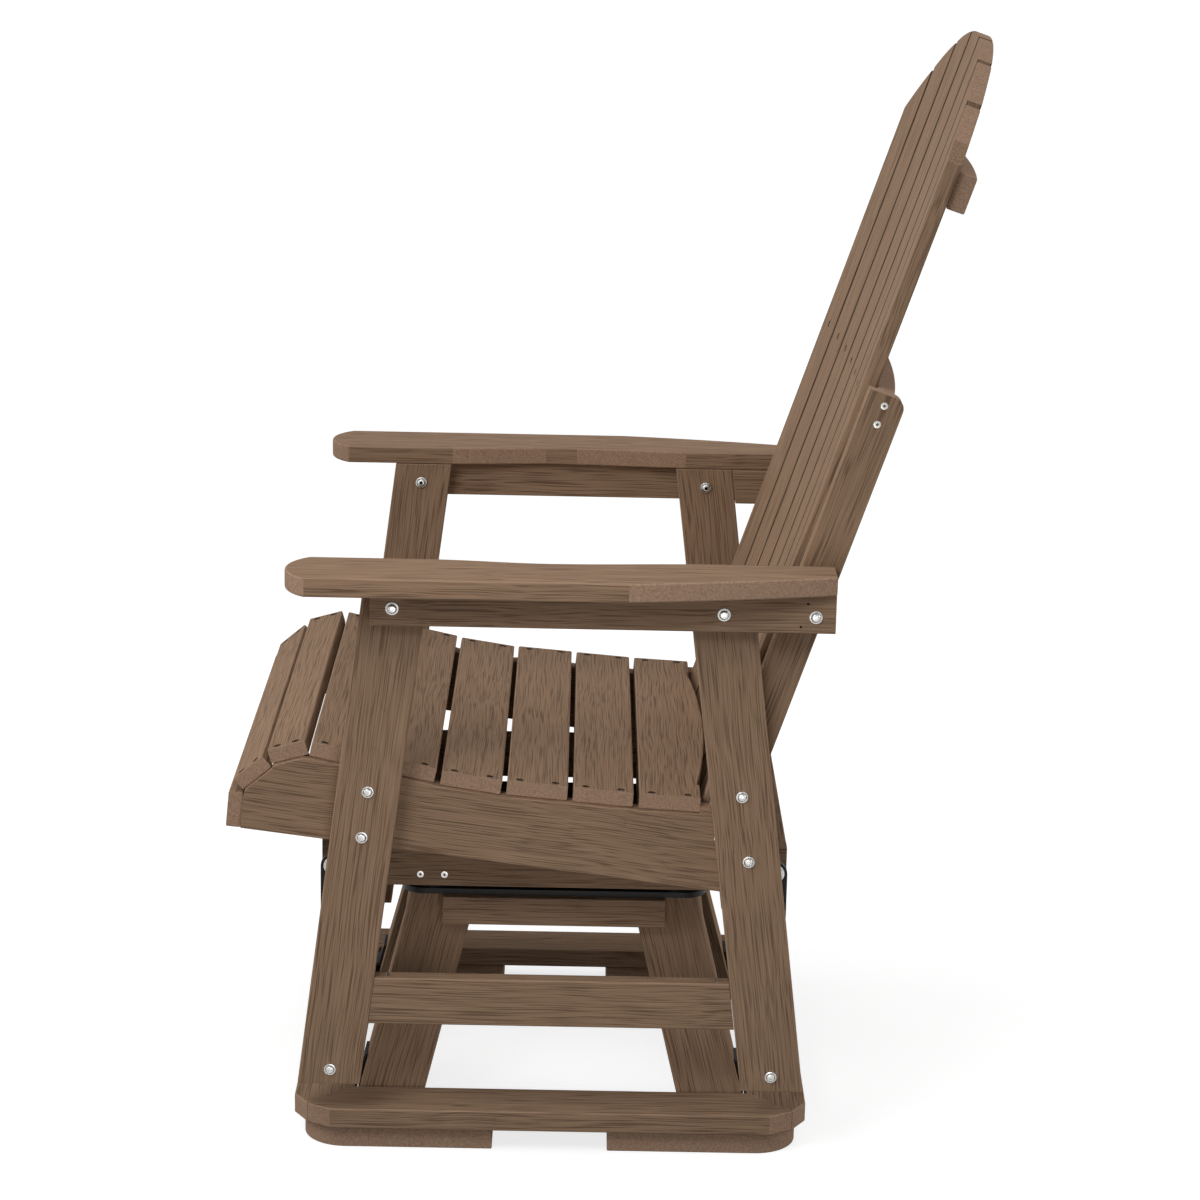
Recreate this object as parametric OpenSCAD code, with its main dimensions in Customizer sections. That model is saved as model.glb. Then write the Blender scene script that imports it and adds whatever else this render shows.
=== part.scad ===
// Adirondack swivel glider chair in plastic lumber: a slatted chair hung on four steel hangers from a
// turning subframe, on a splayed pedestal inside a square base ring.
// Millimetres, +Z up, the sitter faces -Y, +X is the sitter's left.
// The swivel axis stands at x = 0 in the working frame; every node is shifted along Y at the end so
// that the origin is at the bottom centre of the whole chair.

/* [Chair frame] */
// Thickness of the frame boards
board = 20; // [18:0.5:22]
// Clearance between boards that touch
gap = 0.3; // [0.2:0.05:0.5]
// Outer face of the legs from the middle of the chair
leg_out = 286; // [280:1:300]
// Width of a leg measured front to back
leg_w = 65; // [55:1:75]
// Height of the bottom of the legs
leg_foot_z = 81.4; // [75:1:94]
// Distance from the middle to the leg centre at its foot
leg_foot_y = 232; // [230:0.5:236]
// Lean of the legs, run over rise
leg_lean = 0.126; // [0.1:0.002:0.15]
// Height of the lower edge of the lower side rails
low_rail_z = 149; // [139:1:164]
// Height of the lower side rails
low_rail_h = 51; // [40:1:60]

/* [Arms] */
// Height of the top of the arms
arm_top = 645; // [624:1:664]
// Outer edge of the arms
arm_out = 354; // [345:1:365]
// Outer edge of the arms at their rear end
arm_out_rear = 312; // [308:1:330]
// Height of the rail under each arm
arm_rail_h = 40.5; // [36:0.5:44]
// Front end of the arm rail
arm_rail_front = 189; // [180:1:195]
// Rear end of arm and arm rail
arm_rear = 278.7; // [275:1:285]
// Front corners of the arm, where the rounded nose starts
arm_nose_y = 252; // [245:1:258]
// How far the rounded nose stands out
arm_nose = 21; // [15:1:26]

/* [Seat] */
// Half length of the seat slats
slat_half = 258.7; // [256:0.1:261]
// Thickness of seat and back slats
slat_t = 15.5; // [14:0.5:16.5]
// Screw distance from the middle along a seat slat
seat_screw_x = 251; // [250:0.5:253]
// Screw distance from the long edges of a seat slat
seat_screw_edge = 13; // [10:0.5:16]
// Bow of the last slat's rear edge
seat_bow = 10; // [6:0.5:12]
// Height of the front apron
apron_h = 38.2; // [34:0.5:40]
// Slope of the seat rails' lower edge, fall over run
rail_slope = 0.123; // [0.11:0.002:0.13]

/* [Back] */
// Recline of the back, run over rise
back_lean = 0.3346; // [0.32:0.002:0.35]
// Width of a wide slat
slat_w = 63; // [60:0.5:64]
// Gap between back slats
slat_gap = 5.6; // [5:0.1:6.5]
// Radius of the barrel curve across the back
back_r = 2030; // [1700:10:2600]
// Height of the top of the back
back_top = 1159; // [1124:1:1174]
// Height of the lower end of the back slats
back_foot = 345; // [343:1:348]
// Fall of the crown from the middle to the outer edge
crown_drop = 117; // [90:1:120]
// Height of the back rails
back_rail_h = 38; // [34:1:40]
// Depth of the back rails
back_rail_d = 19; // [16:0.5:20]
// Width of the back posts
post_w = 39.3; // [36:0.1:42]

/* [Glide] */
// Height of the upper hanger pivots
pivot_top_z = 306.5; // [304:0.5:309]
// Height of the lower hanger pivots
pivot_low_z = 98; // [96:0.5:102]
// Distance of the hanger pivots from the swivel axis, front to back
pivot_y = 230.4; // [229.8:0.2:232]
// Width of a hanger
hanger_w = 26; // [24:1:32]
// Thickness of a hanger
hanger_t = 5; // [4:0.5:5]
// Inner face of the hangers
hanger_in = 236; // [236:0.1:236.5]
// Radius of the pivot bolts
pivot_r = 4; // [3.5:0.1:4.5]
// Outside radius of the spacer tubes on the pivot bolts
tube_r = 8; // [7:0.5:9]
// Radial running clearance in the bearings
run = 0.05; // [0.02:0.01:0.08]
// Outside radius of the bearings
bearing_r = 10; // [9:0.5:11]

/* [Subframe and swivel] */
// Outer face of the subframe side boards
sub_out = 200.5; // [197:0.5:204]
// Half length of the subframe
sub_half = 245; // [243.5:0.5:245.5]
// Underside of the subframe boards
sub_z = 272; // [271.5:0.5:275]
// Height of the subframe boards
sub_h = 50; // [46:0.5:50.5]
// Width of the two flat cross boards
deck_w = 76; // [70:1:84]
// Distance of the flat cross boards from the swivel axis
deck_y = 128.7; // [120:0.1:132]
// Distance of each side screw from the middle of its cross board
sub_screw_dy = 12.7; // [10:0.1:16]
// Height of the side screws above the underside of the subframe
sub_screw_rise = 12.6; // [9:0.2:14]
// Half width of the swivel plates
plate_half = 163; // [150:1:166]
// Thickness of the swivel plates
plate_t = 6; // [5:0.5:7]
// Corner radius of the swivel plates
plate_r = 24; // [16:1:30]
// Radius of the ball circle
race_r = 90; // [80:1:100]
// Radius of the balls
ball_r = 4; // [3.5:0.5:4]
// Number of balls
ball_n = 24; // [16:1:30]

/* [Base] */
// Thickness of the foot pads
pad_t = 25; // [20:0.5:28]
// Length of a foot pad
pad_len = 201; // [190:1:220]
// Width of a foot pad
pad_w = 79; // [74:1:100]
// Setback of the foot pads from the ring's outer faces
pad_inset = 10; // [2:0.5:14]
// Outer corner radius of the foot pads
pad_r = 45; // [30:1:60]
// Half size of the base ring
ring_half = 272; // [268:1:276]
// Width of the ring boards
ring_w = 62; // [56:0.5:64]
// Thickness of the ring boards
ring_t = 22; // [20:0.5:24]
// Length cut from the ring corners along each side
ring_clip = 40; // [30:1:45]
// Depth of the ring corner at the mitre
ring_nick = 15; // [12:0.5:18]
// Splay of the pedestal, run over rise
splay = 0.257; // [0.24:0.002:0.262]
// Height of the top of the pedestal
ped_top = 249.5; // [246:0.5:250]
// Width of a pedestal leg board
ped_w = 70; // [60:1:74]
// Half length of the outer top rails
ped_rail_half = 118.5; // [100:0.5:125]
// Height of the outer top rails
ped_rail_h = 28; // [24:1:36]
// Height of the top rails between the front and rear boards
ped_end_rail_h = 42; // [30:1:60]

/* [Fasteners] */
// Radius of the bolt heads on the arm rails
head_r = 7; // [6.25:0.25:8]
// Radius of the bolt heads on the legs
leg_head_r = 6.5; // [6:0.25:7.5]
// Height of the bolt heads
head_h = 4; // [3:0.25:4.5]
// Radius of the dome nuts inside the seat rails
dome_nut_r = 6; // [5.5:0.25:7]
// Height of the dome nuts inside the seat rails
dome_nut_h = 3; // [2.5:0.25:4]
// Radius of the frame bolts
bolt_r = 4; // [3:0.25:4.5]
// Radius of the wood screws
screw_r = 2; // [1.5:0.25:2.5]
// Radius of the nails through the rear ends of the arm rails
nail_r = 1.2; // [1:0.1:1.6]
// Clearance round bolts and screws
hole_gap = 0.1; // [0.05:0.05:0.2]

/* [Hidden] */
$fn = 48;

wood = [0.46, 0.37, 0.29];
steel = [0.8, 0.8, 0.82];
black = [0.07, 0.07, 0.08];
big = 1000;
seat_gap = 0.2;
nail_sink = 1.5;

// Chair levels
leg_in = leg_out - board;
rail_in = leg_in - board;
arm_low = arm_top - board;
rail_low = arm_low - arm_rail_h;
function leg_y(z) = leg_foot_y - leg_lean * (z - leg_foot_z);

// Seat: front upper corner, tilt and width of each slat, from the nose to the back
slats = [
  [-331.8, 405.3, 40.3, 39], [-296.6, 437.2, 15.8, 40], [-250.4, 446.7, -11.9, 63],
  [-182.7, 433.2, -12, 62], [-116.8, 418.4, -8.7, 63], [-49.6, 408.9, -4.6, 63],
  [18.8, 403, -4.5, 62.5], [86.9, 397.4, -3, 63.5]];
apron_foot = [-340, 354.2];
apron_tilt = -5.2;
function turn(a, v) = [v[0] * cos(a) - v[1] * sin(a), v[0] * sin(a) + v[1] * cos(a)];
function on_slat(i, u, v) = [slats[i][0], slats[i][1]] + turn(slats[i][2], [u, v]);
under = -(slat_t + gap);
function rail_bottom(y) = 345.6 - rail_slope * (y + 240.7);
post_seat_z = 385.5;
rail_rear_top = 212;
rail_rear_foot = 222;

// Back: frame with v square to the back, w up along the slats, from the front of the middle slat
back_tilt = atan(back_lean);
back_y0 = 38.2;
top_w = back_top / cos(back_tilt);
foot_w = back_foot / cos(back_tilt);
back_pitch = slat_w + slat_gap;
back_half = 3.5 * slat_w + 3 * slat_gap;
crown_k = crown_drop / (back_half * back_half);
rail_top_w = 1060;
rail_mid_w = 832;
rail_bot_w = foot_w + 4;
post_v = -7.8;
function crown(x) = top_w - crown_k * x * x;

// Bolts through arm rails and legs, as [y, z]
bolt_arm_z = 603;
bolts_arm = [[-leg_y(bolt_arm_z), bolt_arm_z], [leg_y(bolt_arm_z), bolt_arm_z]];
bolt_post = [258.4, 602];
bolts_front = [[-leg_y(403), 403], [-leg_y(354), 354]];
bolts_rear = [[leg_y(405), 405], [leg_y(335), 335]];

// Swivel and pedestal levels
low_plate_z = ped_top + gap;
up_plate_z = sub_z - plate_t;
deck_z = up_plate_z + plate_t + gap;
deck_t = board;
ring_z = pad_t;
ring_top = ring_z + ring_t;
ring_in = ring_half - ring_w;
ped_foot = ring_in - splay * ring_t - gap;
ped_low = pad_t;
tilt = atan(splay);
ped_flat = ped_foot + splay * ring_top;
ped_long = (ped_top + board) / cos(tilt);

// The overall depth runs from the apron's foot to the top rear corner of the middle slat
front_y = apron_foot[0];
rear_y = back_y0 + back_top * back_lean + slat_t * cos(back_tilt);
shift_y = -(front_y + rear_y) / 2;

// Helpers
module place() { translate([0, shift_y, 0]) children(); }
module both_sides() { children(); mirror([1, 0, 0]) children(); }
module both_ends() { children(); mirror([0, 1, 0]) children(); }
module plank(x0, x1) {
  // a profile drawn in [y, z], standing from x0 to x1
  translate([x0, 0, 0]) rotate([90, 0, 90]) linear_extrude(x1 - x0) children();
}
module pin_x(x0, x1, y, z, r) {
  translate([x0, y, z]) rotate([0, 90, 0]) cylinder(h = x1 - x0, r = r);
}
module dome(r, h) {
  // a button head on z = 0 with a six-sided socket
  ball = (r * r + h * h) / (2 * h);
  difference() {
    intersection() {
      cylinder(h = h, r = r);
      translate([0, 0, h - ball]) sphere(r = ball);
    }
    translate([0, 0, h - 1.8]) cylinder(h = 3, r = r * 0.38, $fn = 6);
  }
}
module bolt(x_head, x_end, y, z, r, head) {
  // a bolt along X with its button head seated on x_head
  pin_x(x_end, x_head + seat_gap, y, z, r);
  translate([x_head + seat_gap, y, z]) rotate([0, 90, 0]) dome(head, head_h);
}
module nut(x0, y, z, t, r) {
  translate([x0, y, z]) rotate([0, 90, 0]) difference() {
    cylinder(h = t, r = r * 1.9, $fn = 6);
    translate([0, 0, -1]) cylinder(h = t + 2, r = r + hole_gap);
  }
}
module screw(len) {
  // countersunk, with its head flush at z = 0 and the shank pointing down
  difference() {
    union() {
      translate([0, 0, -2.5]) cylinder(h = 2.5, r1 = screw_r, r2 = 2 * screw_r);
      translate([0, 0, -len]) cylinder(h = len - 2, r = screw_r);
    }
    translate([0, 0, -1.5]) cylinder(h = 3, r = screw_r * 0.9, $fn = 4);
  }
}
module screw_hole(len) {
  translate([0, 0, -2.5]) cylinder(h = 2.5, r1 = screw_r + hole_gap, r2 = 2 * screw_r + hole_gap);
  translate([0, 0, -len - 1]) cylinder(h = len + 1, r = screw_r + hole_gap);
  cylinder(h = 5, r = 2 * screw_r + hole_gap);
}

module nail(len) {
  // sunk a little below z = 0
  translate([0, 0, -len]) cylinder(h = len - nail_sink, r = nail_r);
}
module nail_hole(len) {
  translate([0, 0, -len - 1]) cylinder(h = len + 5, r = nail_r + hole_gap);
}

// Base
module pad() {
  out = ring_half - pad_inset;
  linear_extrude(pad_t - gap) difference() {
    translate([out - pad_w, out - pad_len]) square([pad_w, pad_len]);
    difference() {
      translate([out - pad_r, out - pad_r]) square(pad_r + 1);
      translate([out - pad_r, out - pad_r]) circle(r = pad_r, $fn = 96);
    }
  }
}
pad_screws = [[ring_half - 30, ring_half - 75], [ring_half - 30, ring_half - 170]];
module pad_screw_at() {
  both_sides() both_ends() for (p = pad_screws)
    translate([p[0], p[1], 0]) rotate([180, 0, 0]) children();
}
module foot_pads() {
  color(wood) place() difference() {
    both_sides() both_ends() pad();
    pad_screw_at() screw_hole(36);
  }
}
module ring_board(turned) {
  h = ring_half;
  e = ring_half - ring_nick;
  color(wood) place() difference() {
    rotate(turned) translate([0, 0, ring_z]) linear_extrude(ring_t) polygon([
      [ring_in, -ring_in + gap], [e, -e + gap], [h, -h + ring_clip],
      [h, h - ring_clip], [e, e - gap], [ring_in, ring_in - gap]]);
    pad_screw_at() screw_hole(36);
    bracket_screw_at() screw_hole(14);
  }
}
module ring_left() { ring_board(0); }
module ring_rear() { ring_board(90); }
module ring_right() { ring_board(180); }
module ring_front() { ring_board(-90); }

// Pedestal: flat panels that lean in by the splay, square-cut boards laid in each leaning plane
module lean_plane() {
  // x is outwards through the panel from its outer face, y along it, z up the slope
  translate([ped_flat, 0, 0]) rotate([0, -tilt, 0]) children();
}
module lean_plane_rear() {
  rotate(90) lean_plane() children();
}
function edge_at(t) = ped_flat - splay * t * cos(tilt);
module between(z0, z1) {
  translate([-big, -big, z0]) cube([2 * big, 2 * big, z1 - z0]);
}
module edge_board() {
  // a board laid along the panel's leaning edge
  plank(-board, 0) polygon([
    [edge_at(0) - ped_w, 0], [edge_at(0), 0],
    [edge_at(ped_long), ped_long], [edge_at(ped_long) - ped_w, ped_long]]);
}
module side_board() {
  intersection() {
    lean_plane() edge_board();
    between(ped_low, ped_top);
  }
}
module end_board() {
  intersection() {
    lean_plane_rear() edge_board();
    between(ped_low, ped_top);
    mirror([1, 0, 0]) lean_plane() translate([-board - gap - big, -big, -big]) cube([big, 2 * big, 2 * big]);
  }
}
plate_screws = [[146, 112], [40, 146]];
module plate_screw_at() {
  both_sides() both_ends() for (p = plate_screws)
    translate([p[0], p[1], low_plate_z + plate_t]) children();
}
module pedestal_side_boards() {
  color(wood) place() difference() {
    both_sides() both_ends() side_board();
    plate_screw_at() screw_hole(46);
    rail_screw_at() screw_hole(34);
  }
}
module pedestal_end_boards() {
  color(wood) place() difference() {
    both_sides() both_ends() end_board();
    bracket_wall_screw_at() screw_hole(14);
  }
}
// Screws from inside the pedestal through the side boards into the outer rails
rail_screw_y = [93, 105];
module rail_screw_at() {
  both_sides() both_ends() for (y = rail_screw_y)
    lean_plane() translate([-board, y, (ped_top - 14) / cos(tilt)]) rotate([0, -90, 0]) children();
}
module side_rail() {
  // proud of the side panel
  intersection() {
    lean_plane() translate([gap, -ped_rail_half, 0]) cube([board, 2 * ped_rail_half, ped_long]);
    between(ped_top - ped_rail_h, ped_top);
  }
}
module end_rail() {
  // flush between the two end boards
  inner = function(t) edge_at(t) - ped_w - gap;
  intersection() {
    lean_plane_rear() plank(-board, 0) polygon([
      [-inner(0), 0], [inner(0), 0], [inner(ped_long), ped_long], [-inner(ped_long), ped_long]]);
    between(ped_top - ped_end_rail_h, ped_top);
  }
}
module pedestal_rails() {
  color(wood) place() difference() {
    union() {
      both_sides() side_rail();
      both_ends() end_rail();
    }
    plate_screw_at() screw_hole(46);
    rail_screw_at() screw_hole(34);
  }
}

// Steel angles at the feet of the front and rear panels
bracket_h = 25;
bracket_t = 3;
bracket_x0 = 146;
bracket_x1 = 183;
bracket_reach = 26;
bracket_x = (bracket_x0 + bracket_x1) / 2;
module bracket() {
  z0 = ring_top + gap;
  wide = bracket_x1 - bracket_x0;
  intersection() {
    lean_plane_rear() translate([gap, bracket_x0, 0]) cube([bracket_t, wide, ped_long]);
    between(z0, z0 + bracket_h);
  }
  intersection() {
    translate([-bracket_x1, 0, z0]) cube([wide, ring_in + bracket_reach, bracket_t]);
    lean_plane_rear() translate([gap, -big, -big]) cube(2 * big);
  }
}
module bracket_screw_at() {
  both_sides() both_ends()
    translate([bracket_x, ring_in + bracket_reach - 10, ring_top + gap + bracket_t]) children();
}
module bracket_wall_screw_at() {
  both_sides() both_ends() lean_plane_rear()
    translate([gap + bracket_t, bracket_x, (ring_top + 17) / cos(tilt)]) rotate([0, 90, 0]) children();
}
module corner_brackets() {
  color(black) place() difference() {
    both_sides() both_ends() bracket();
    bracket_screw_at() screw_hole(14);
    bracket_wall_screw_at() screw_hole(14);
  }
}
module base_screws() {
  color(steel) place() {
    pad_screw_at() screw(36);
    plate_screw_at() screw(46);
    rail_screw_at() screw(34);
    bracket_screw_at() screw(14);
    bracket_wall_screw_at() screw(14);
  }
}

// Swivel
module rounded_plate(z, t) {
  translate([0, 0, z]) linear_extrude(t) union() {
    square([2 * plate_half, 2 * (plate_half - plate_r)], center = true);
    square([2 * (plate_half - plate_r), 2 * plate_half], center = true);
    for (sx = [-1, 1], sy = [-1, 1])
      translate([sx * (plate_half - plate_r), sy * (plate_half - plate_r)]) circle(r = plate_r);
  }
}
ball_z = (low_plate_z + plate_t + up_plate_z) / 2;
race_gap = 1.5;
race_w = 10;
module race_groove() {
  translate([0, 0, ball_z]) rotate_extrude($fn = 96) translate([race_r, 0]) circle(r = ball_r + run);
}
module race_ring(z0, z1) {
  difference() {
    translate([0, 0, z0]) cylinder(h = z1 - z0, r = race_r + race_w, $fn = 96);
    translate([0, 0, z0 - 1]) cylinder(h = z1 - z0 + 2, r = race_r - race_w, $fn = 96);
  }
}
spindle_r = 12;
module swivel_lower_plate() {
  color(black) place() difference() {
    union() {
      rounded_plate(low_plate_z, plate_t);
      race_ring(low_plate_z + plate_t, ball_z - race_gap);
      translate([0, 0, low_plate_z]) cylinder(h = deck_z + 10 - low_plate_z, r = spindle_r);
      translate([0, 0, up_plate_z + plate_t + 1]) cylinder(h = 8, r = 19, $fn = 6);
    }
    race_groove();
    plate_screw_at() screw_hole(46);
  }
}
module swivel_balls() {
  color(steel) place() for (i = [0 : ball_n - 1])
    rotate(i * 360 / ball_n) translate([race_r, 0, ball_z]) sphere(r = ball_r);
}
deck_bolts = [[60, deck_y], [125, deck_y]];
module deck_bolt_at() {
  both_sides() both_ends() for (p = deck_bolts) translate([p[0], p[1], 0]) children();
}
module swivel_upper_plate() {
  color(black) place() difference() {
    union() {
      rounded_plate(up_plate_z, plate_t);
      race_ring(ball_z + race_gap, up_plate_z);
    }
    race_groove();
    translate([0, 0, up_plate_z - 1]) cylinder(h = plate_t + 2, r = spindle_r + run);
    deck_bolt_at() translate([0, 0, up_plate_z - 1]) cylinder(h = plate_t + 2, r = bolt_r + hole_gap);
  }
}

// Subframe
sub_in = sub_out - board;
lag_len = 70;
module subframe_side() {
  difference() {
    translate([sub_in, -sub_half, sub_z]) cube([board, 2 * sub_half, sub_h]);
    for (s = [-1, 1]) pin_x(sub_in - 1, sub_out + 1, s * pivot_y, pivot_top_z, pivot_r + hole_gap);
    sub_screw_at() screw_hole(38);
  }
}
module sub_screw_at() {
  // horizontal screws through the side board into the cross boards
  for (s = [-1, 1], d = [-1, 1])
    translate([sub_out, s * deck_y + d * sub_screw_dy, sub_z + sub_screw_rise]) rotate([0, 90, 0]) children();
}
module subframe_side_left() { color(wood) place() subframe_side(); }
module subframe_side_right() { color(wood) place() mirror([1, 0, 0]) subframe_side(); }
module subframe_cross_boards() {
  in = sub_in - gap;
  color(wood) place() difference() {
    union() {
      both_ends() translate([-in, sub_half - board, sub_z]) cube([2 * in, board, sub_h]);
      both_ends() translate([-in, deck_y - deck_w / 2, deck_z]) cube([2 * in, deck_w, deck_t]);
    }
    both_sides() for (s = [-1, 1])
      pin_x(sub_in - lag_len - 1, sub_in + 1, s * pivot_y, pivot_top_z, pivot_r + hole_gap);
    both_sides() sub_screw_at() screw_hole(38);
    deck_bolt_at() translate([0, 0, deck_z - 1]) cylinder(h = deck_t + 2, r = bolt_r + hole_gap);
  }
}
module subframe_fasteners() {
  color(steel) place() {
    both_sides() for (s = [-1, 1]) {
      pin_x(sub_in - lag_len, hanger_in + hanger_t + 0.3, s * pivot_y, pivot_top_z, pivot_r);
      translate([hanger_in + hanger_t + 0.3, s * pivot_y, pivot_top_z]) rotate([0, 90, 0]) dome(head_r, 3.6);
      // a spacer tube holds each hanger clear of the side board
      difference() {
        pin_x(sub_out + 0.1, hanger_in - 0.3, s * pivot_y, pivot_top_z, tube_r);
        pin_x(sub_out - 1, hanger_in + 1, s * pivot_y, pivot_top_z, pivot_r + hole_gap);
      }
    }
    both_sides() sub_screw_at() screw(38);
    deck_bolt_at() {
      translate([0, 0, up_plate_z - 8]) cylinder(h = deck_z + deck_t + 8.1 - up_plate_z, r = bolt_r);
      translate([0, 0, deck_z + deck_t + 0.1]) dome(head_r, head_h);
      translate([0, 0, up_plate_z - 6.6]) difference() {
        cylinder(h = 6.4, r = 7.4, $fn = 6);
        translate([0, 0, -1]) cylinder(h = 9, r = bolt_r + hole_gap);
      }
    }
  }
}

// Hangers
module hanger(y) {
  difference() {
    translate([hanger_in, y, 0]) union() {
      translate([0, -hanger_w / 2, pivot_low_z]) cube([hanger_t, hanger_w, pivot_top_z - pivot_low_z]);
      pin_x(0, hanger_t, 0, pivot_low_z, hanger_w / 2);
      pin_x(0, hanger_t, 0, pivot_top_z, hanger_w / 2);
    }
    for (z = [pivot_low_z, pivot_top_z]) pin_x(hanger_in - 1, hanger_in + hanger_t + 1, y, z, bearing_r);
  }
}
module bearings(y) {
  for (z = [pivot_low_z, pivot_top_z]) difference() {
    pin_x(hanger_in, hanger_in + hanger_t, y, z, bearing_r - 0.02);
    pin_x(hanger_in - 1, hanger_in + hanger_t + 1, y, z, pivot_r + run);
  }
}
module front_hangers() { color(black) place() both_sides() hanger(-pivot_y); }
module rear_hangers() { color(black) place() both_sides() hanger(pivot_y); }
module front_bearings() { color(steel) place() both_sides() bearings(-pivot_y); }
module rear_bearings() { color(steel) place() both_sides() bearings(pivot_y); }

// Chair side frames
module bolt_holes(x0, x1, pts) {
  for (p = pts) pin_x(x0, x1, p[0], p[1], bolt_r + hole_gap);
}
module leg(s, more) {
  z1 = arm_low - gap;
  difference() {
    plank(leg_in, leg_out) polygon([
      [s * leg_y(leg_foot_z) - leg_w / 2, leg_foot_z], [s * leg_y(leg_foot_z) + leg_w / 2, leg_foot_z],
      [s * leg_y(z1) + leg_w / 2, z1], [s * leg_y(z1) - leg_w / 2, z1]]);
    bolt_holes(leg_in - 1, leg_out + 1, bolts_arm);
    bolt_holes(leg_in - 1, leg_out + 1, more);
    pin_x(leg_in - 1, leg_out + 1, s * pivot_y, pivot_low_z, pivot_r + hole_gap);
    toe_screw_at() screw_hole(40);
  }
}
module leg_front_left() { color(wood) place() leg(-1, bolts_front); }
module leg_front_right() { color(wood) place() mirror([1, 0, 0]) leg(-1, bolts_front); }
module leg_rear_left() { color(wood) place() leg(1, bolts_rear); }
module leg_rear_right() { color(wood) place() mirror([1, 0, 0]) leg(1, bolts_rear); }
rail_recess = 1;
module lower_rail() {
  z1 = low_rail_z + low_rail_h;
  e0 = leg_y(low_rail_z) - leg_w / 2 - gap;
  e1 = leg_y(z1) - leg_w / 2 - gap;
  difference() {
    plank(leg_in, leg_out - rail_recess) polygon([[-e0, low_rail_z], [e0, low_rail_z], [e1, z1], [-e1, z1]]);
    toe_screw_at() screw_hole(40);
  }
}
// Slanting screws from the lower rail's top edge into the legs
module toe_screw_at() {
  z1 = low_rail_z + low_rail_h;
  for (s = [-1, 1]) translate([leg_in + board / 2, s * (leg_y(z1) - leg_w / 2 - 15), z1])
    rotate([s * 45, 0, 0]) children();
}
module lower_rail_left() { color(wood) place() lower_rail(); }
module lower_rail_right() { color(wood) place() mirror([1, 0, 0]) lower_rail(); }

// Seat rail: its top follows the undersides of the slats, its front carries the apron
module seat_rail() {
  n = len(slats);
  foot = [-324.3, 354.6];
  difference() {
    plank(rail_in, leg_in) polygon(concat(
      [foot, [-321.4, 388]],
      [on_slat(0, 3, under), on_slat(0, slats[0][3] + gap, under)],
      [on_slat(1, 3, under), on_slat(1, slats[1][3] - 6, under)],
      [for (i = [2 : n - 1], u = [i == 2 ? 6 : 0, slats[i][3]]) on_slat(i, u, under)],
      [[rail_rear_top - 62, post_seat_z - gap], [rail_rear_top, post_seat_z - gap],
       [rail_rear_foot, rail_bottom(rail_rear_foot)]]));
    bolt_holes(rail_in - 1, leg_in + 1, bolts_front);
    bolt_holes(rail_in - 1, leg_in + 1, bolts_rear);
    seat_screw_at() screw_hole(slat_screw_hole);
    apron_screw_at() screw_hole(slat_screw_hole);
    rail_end_screw_at() screw_hole(44);
  }
}
module seat_rail_left() { color(wood) place() seat_rail(); }
module seat_rail_right() { color(wood) place() mirror([1, 0, 0]) seat_rail(); }

// Screws
slat_screw_len = 32;
slat_screw_hole = slat_screw_len + 2;
module seat_screw_at(only = -1) {
  for (i = [0 : len(slats) - 1]) if (only < 0 || only == i)
    for (u = [i < 2 ? 10 : seat_screw_edge, slats[i][3] - (i < 2 ? 10 : seat_screw_edge)])
      translate([seat_screw_x, on_slat(i, u, 0)[0], on_slat(i, u, 0)[1]])
        rotate([slats[i][2], 0, 0]) children();
}
module apron_screw_at() {
  for (z = [10, apron_h - 10])
    translate([seat_screw_x, apron_foot[0], apron_foot[1]]) rotate([apron_tilt, 0, 0])
      translate([0, 0, z]) rotate([90, 0, 0]) children();
}

// Seat
module slat_blank(i) {
  translate([-slat_half, slats[i][0], slats[i][1]]) rotate([slats[i][2], 0, 0])
    translate([0, 0, -slat_t]) cube([2 * slat_half, slats[i][3], slat_t]);
}
module seat_slat(i) {
  color(wood) place() difference() {
    slat_blank(i);
    both_sides() seat_screw_at(i) screw_hole(slat_screw_hole);
  }
}
module front_apron() {
  color(wood) place() difference() {
    translate([-slat_half, apron_foot[0], apron_foot[1]]) rotate([apron_tilt, 0, 0])
      cube([2 * slat_half, slat_t - 0.4, apron_h]);
    both_sides() apron_screw_at() screw_hole(slat_screw_hole);
  }
}
module seat_slat_1() seat_slat(0);
module seat_slat_2() seat_slat(1);
module seat_slat_3() seat_slat(2);
module seat_slat_4() seat_slat(3);
module seat_slat_5() seat_slat(4);
module seat_slat_6() seat_slat(5);
module seat_slat_7() seat_slat(6);
// The last slat bows out to follow the barrel of the back, with short square ends
bow_end = 22;
bow_half = back_half - bow_end;
bow_rise = seat_bow + 3;
bow_r = (bow_half * bow_half + bow_rise * bow_rise) / (2 * bow_rise);
module bow_plan(w) {
  translate([-slat_half, 0]) square([2 * slat_half, w - bow_rise]);
  for (x = [-slat_half, bow_half]) translate([x, 0]) square([slat_half - bow_half, w]);
  intersection() {
    translate([-bow_half, 0]) square([2 * bow_half, w + seat_bow]);
    translate([0, w + seat_bow - bow_r]) circle(r = bow_r, $fn = 180);
  }
}
module seat_slat_8() {
  i = 7;
  color(wood) place() difference() {
    translate([0, slats[i][0], slats[i][1]]) rotate([slats[i][2], 0, 0])
      translate([0, 0, -slat_t]) linear_extrude(slat_t) bow_plan(slats[i][3]);
    both_sides() seat_screw_at(i) screw_hole(slat_screw_hole);
  }
}

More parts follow.
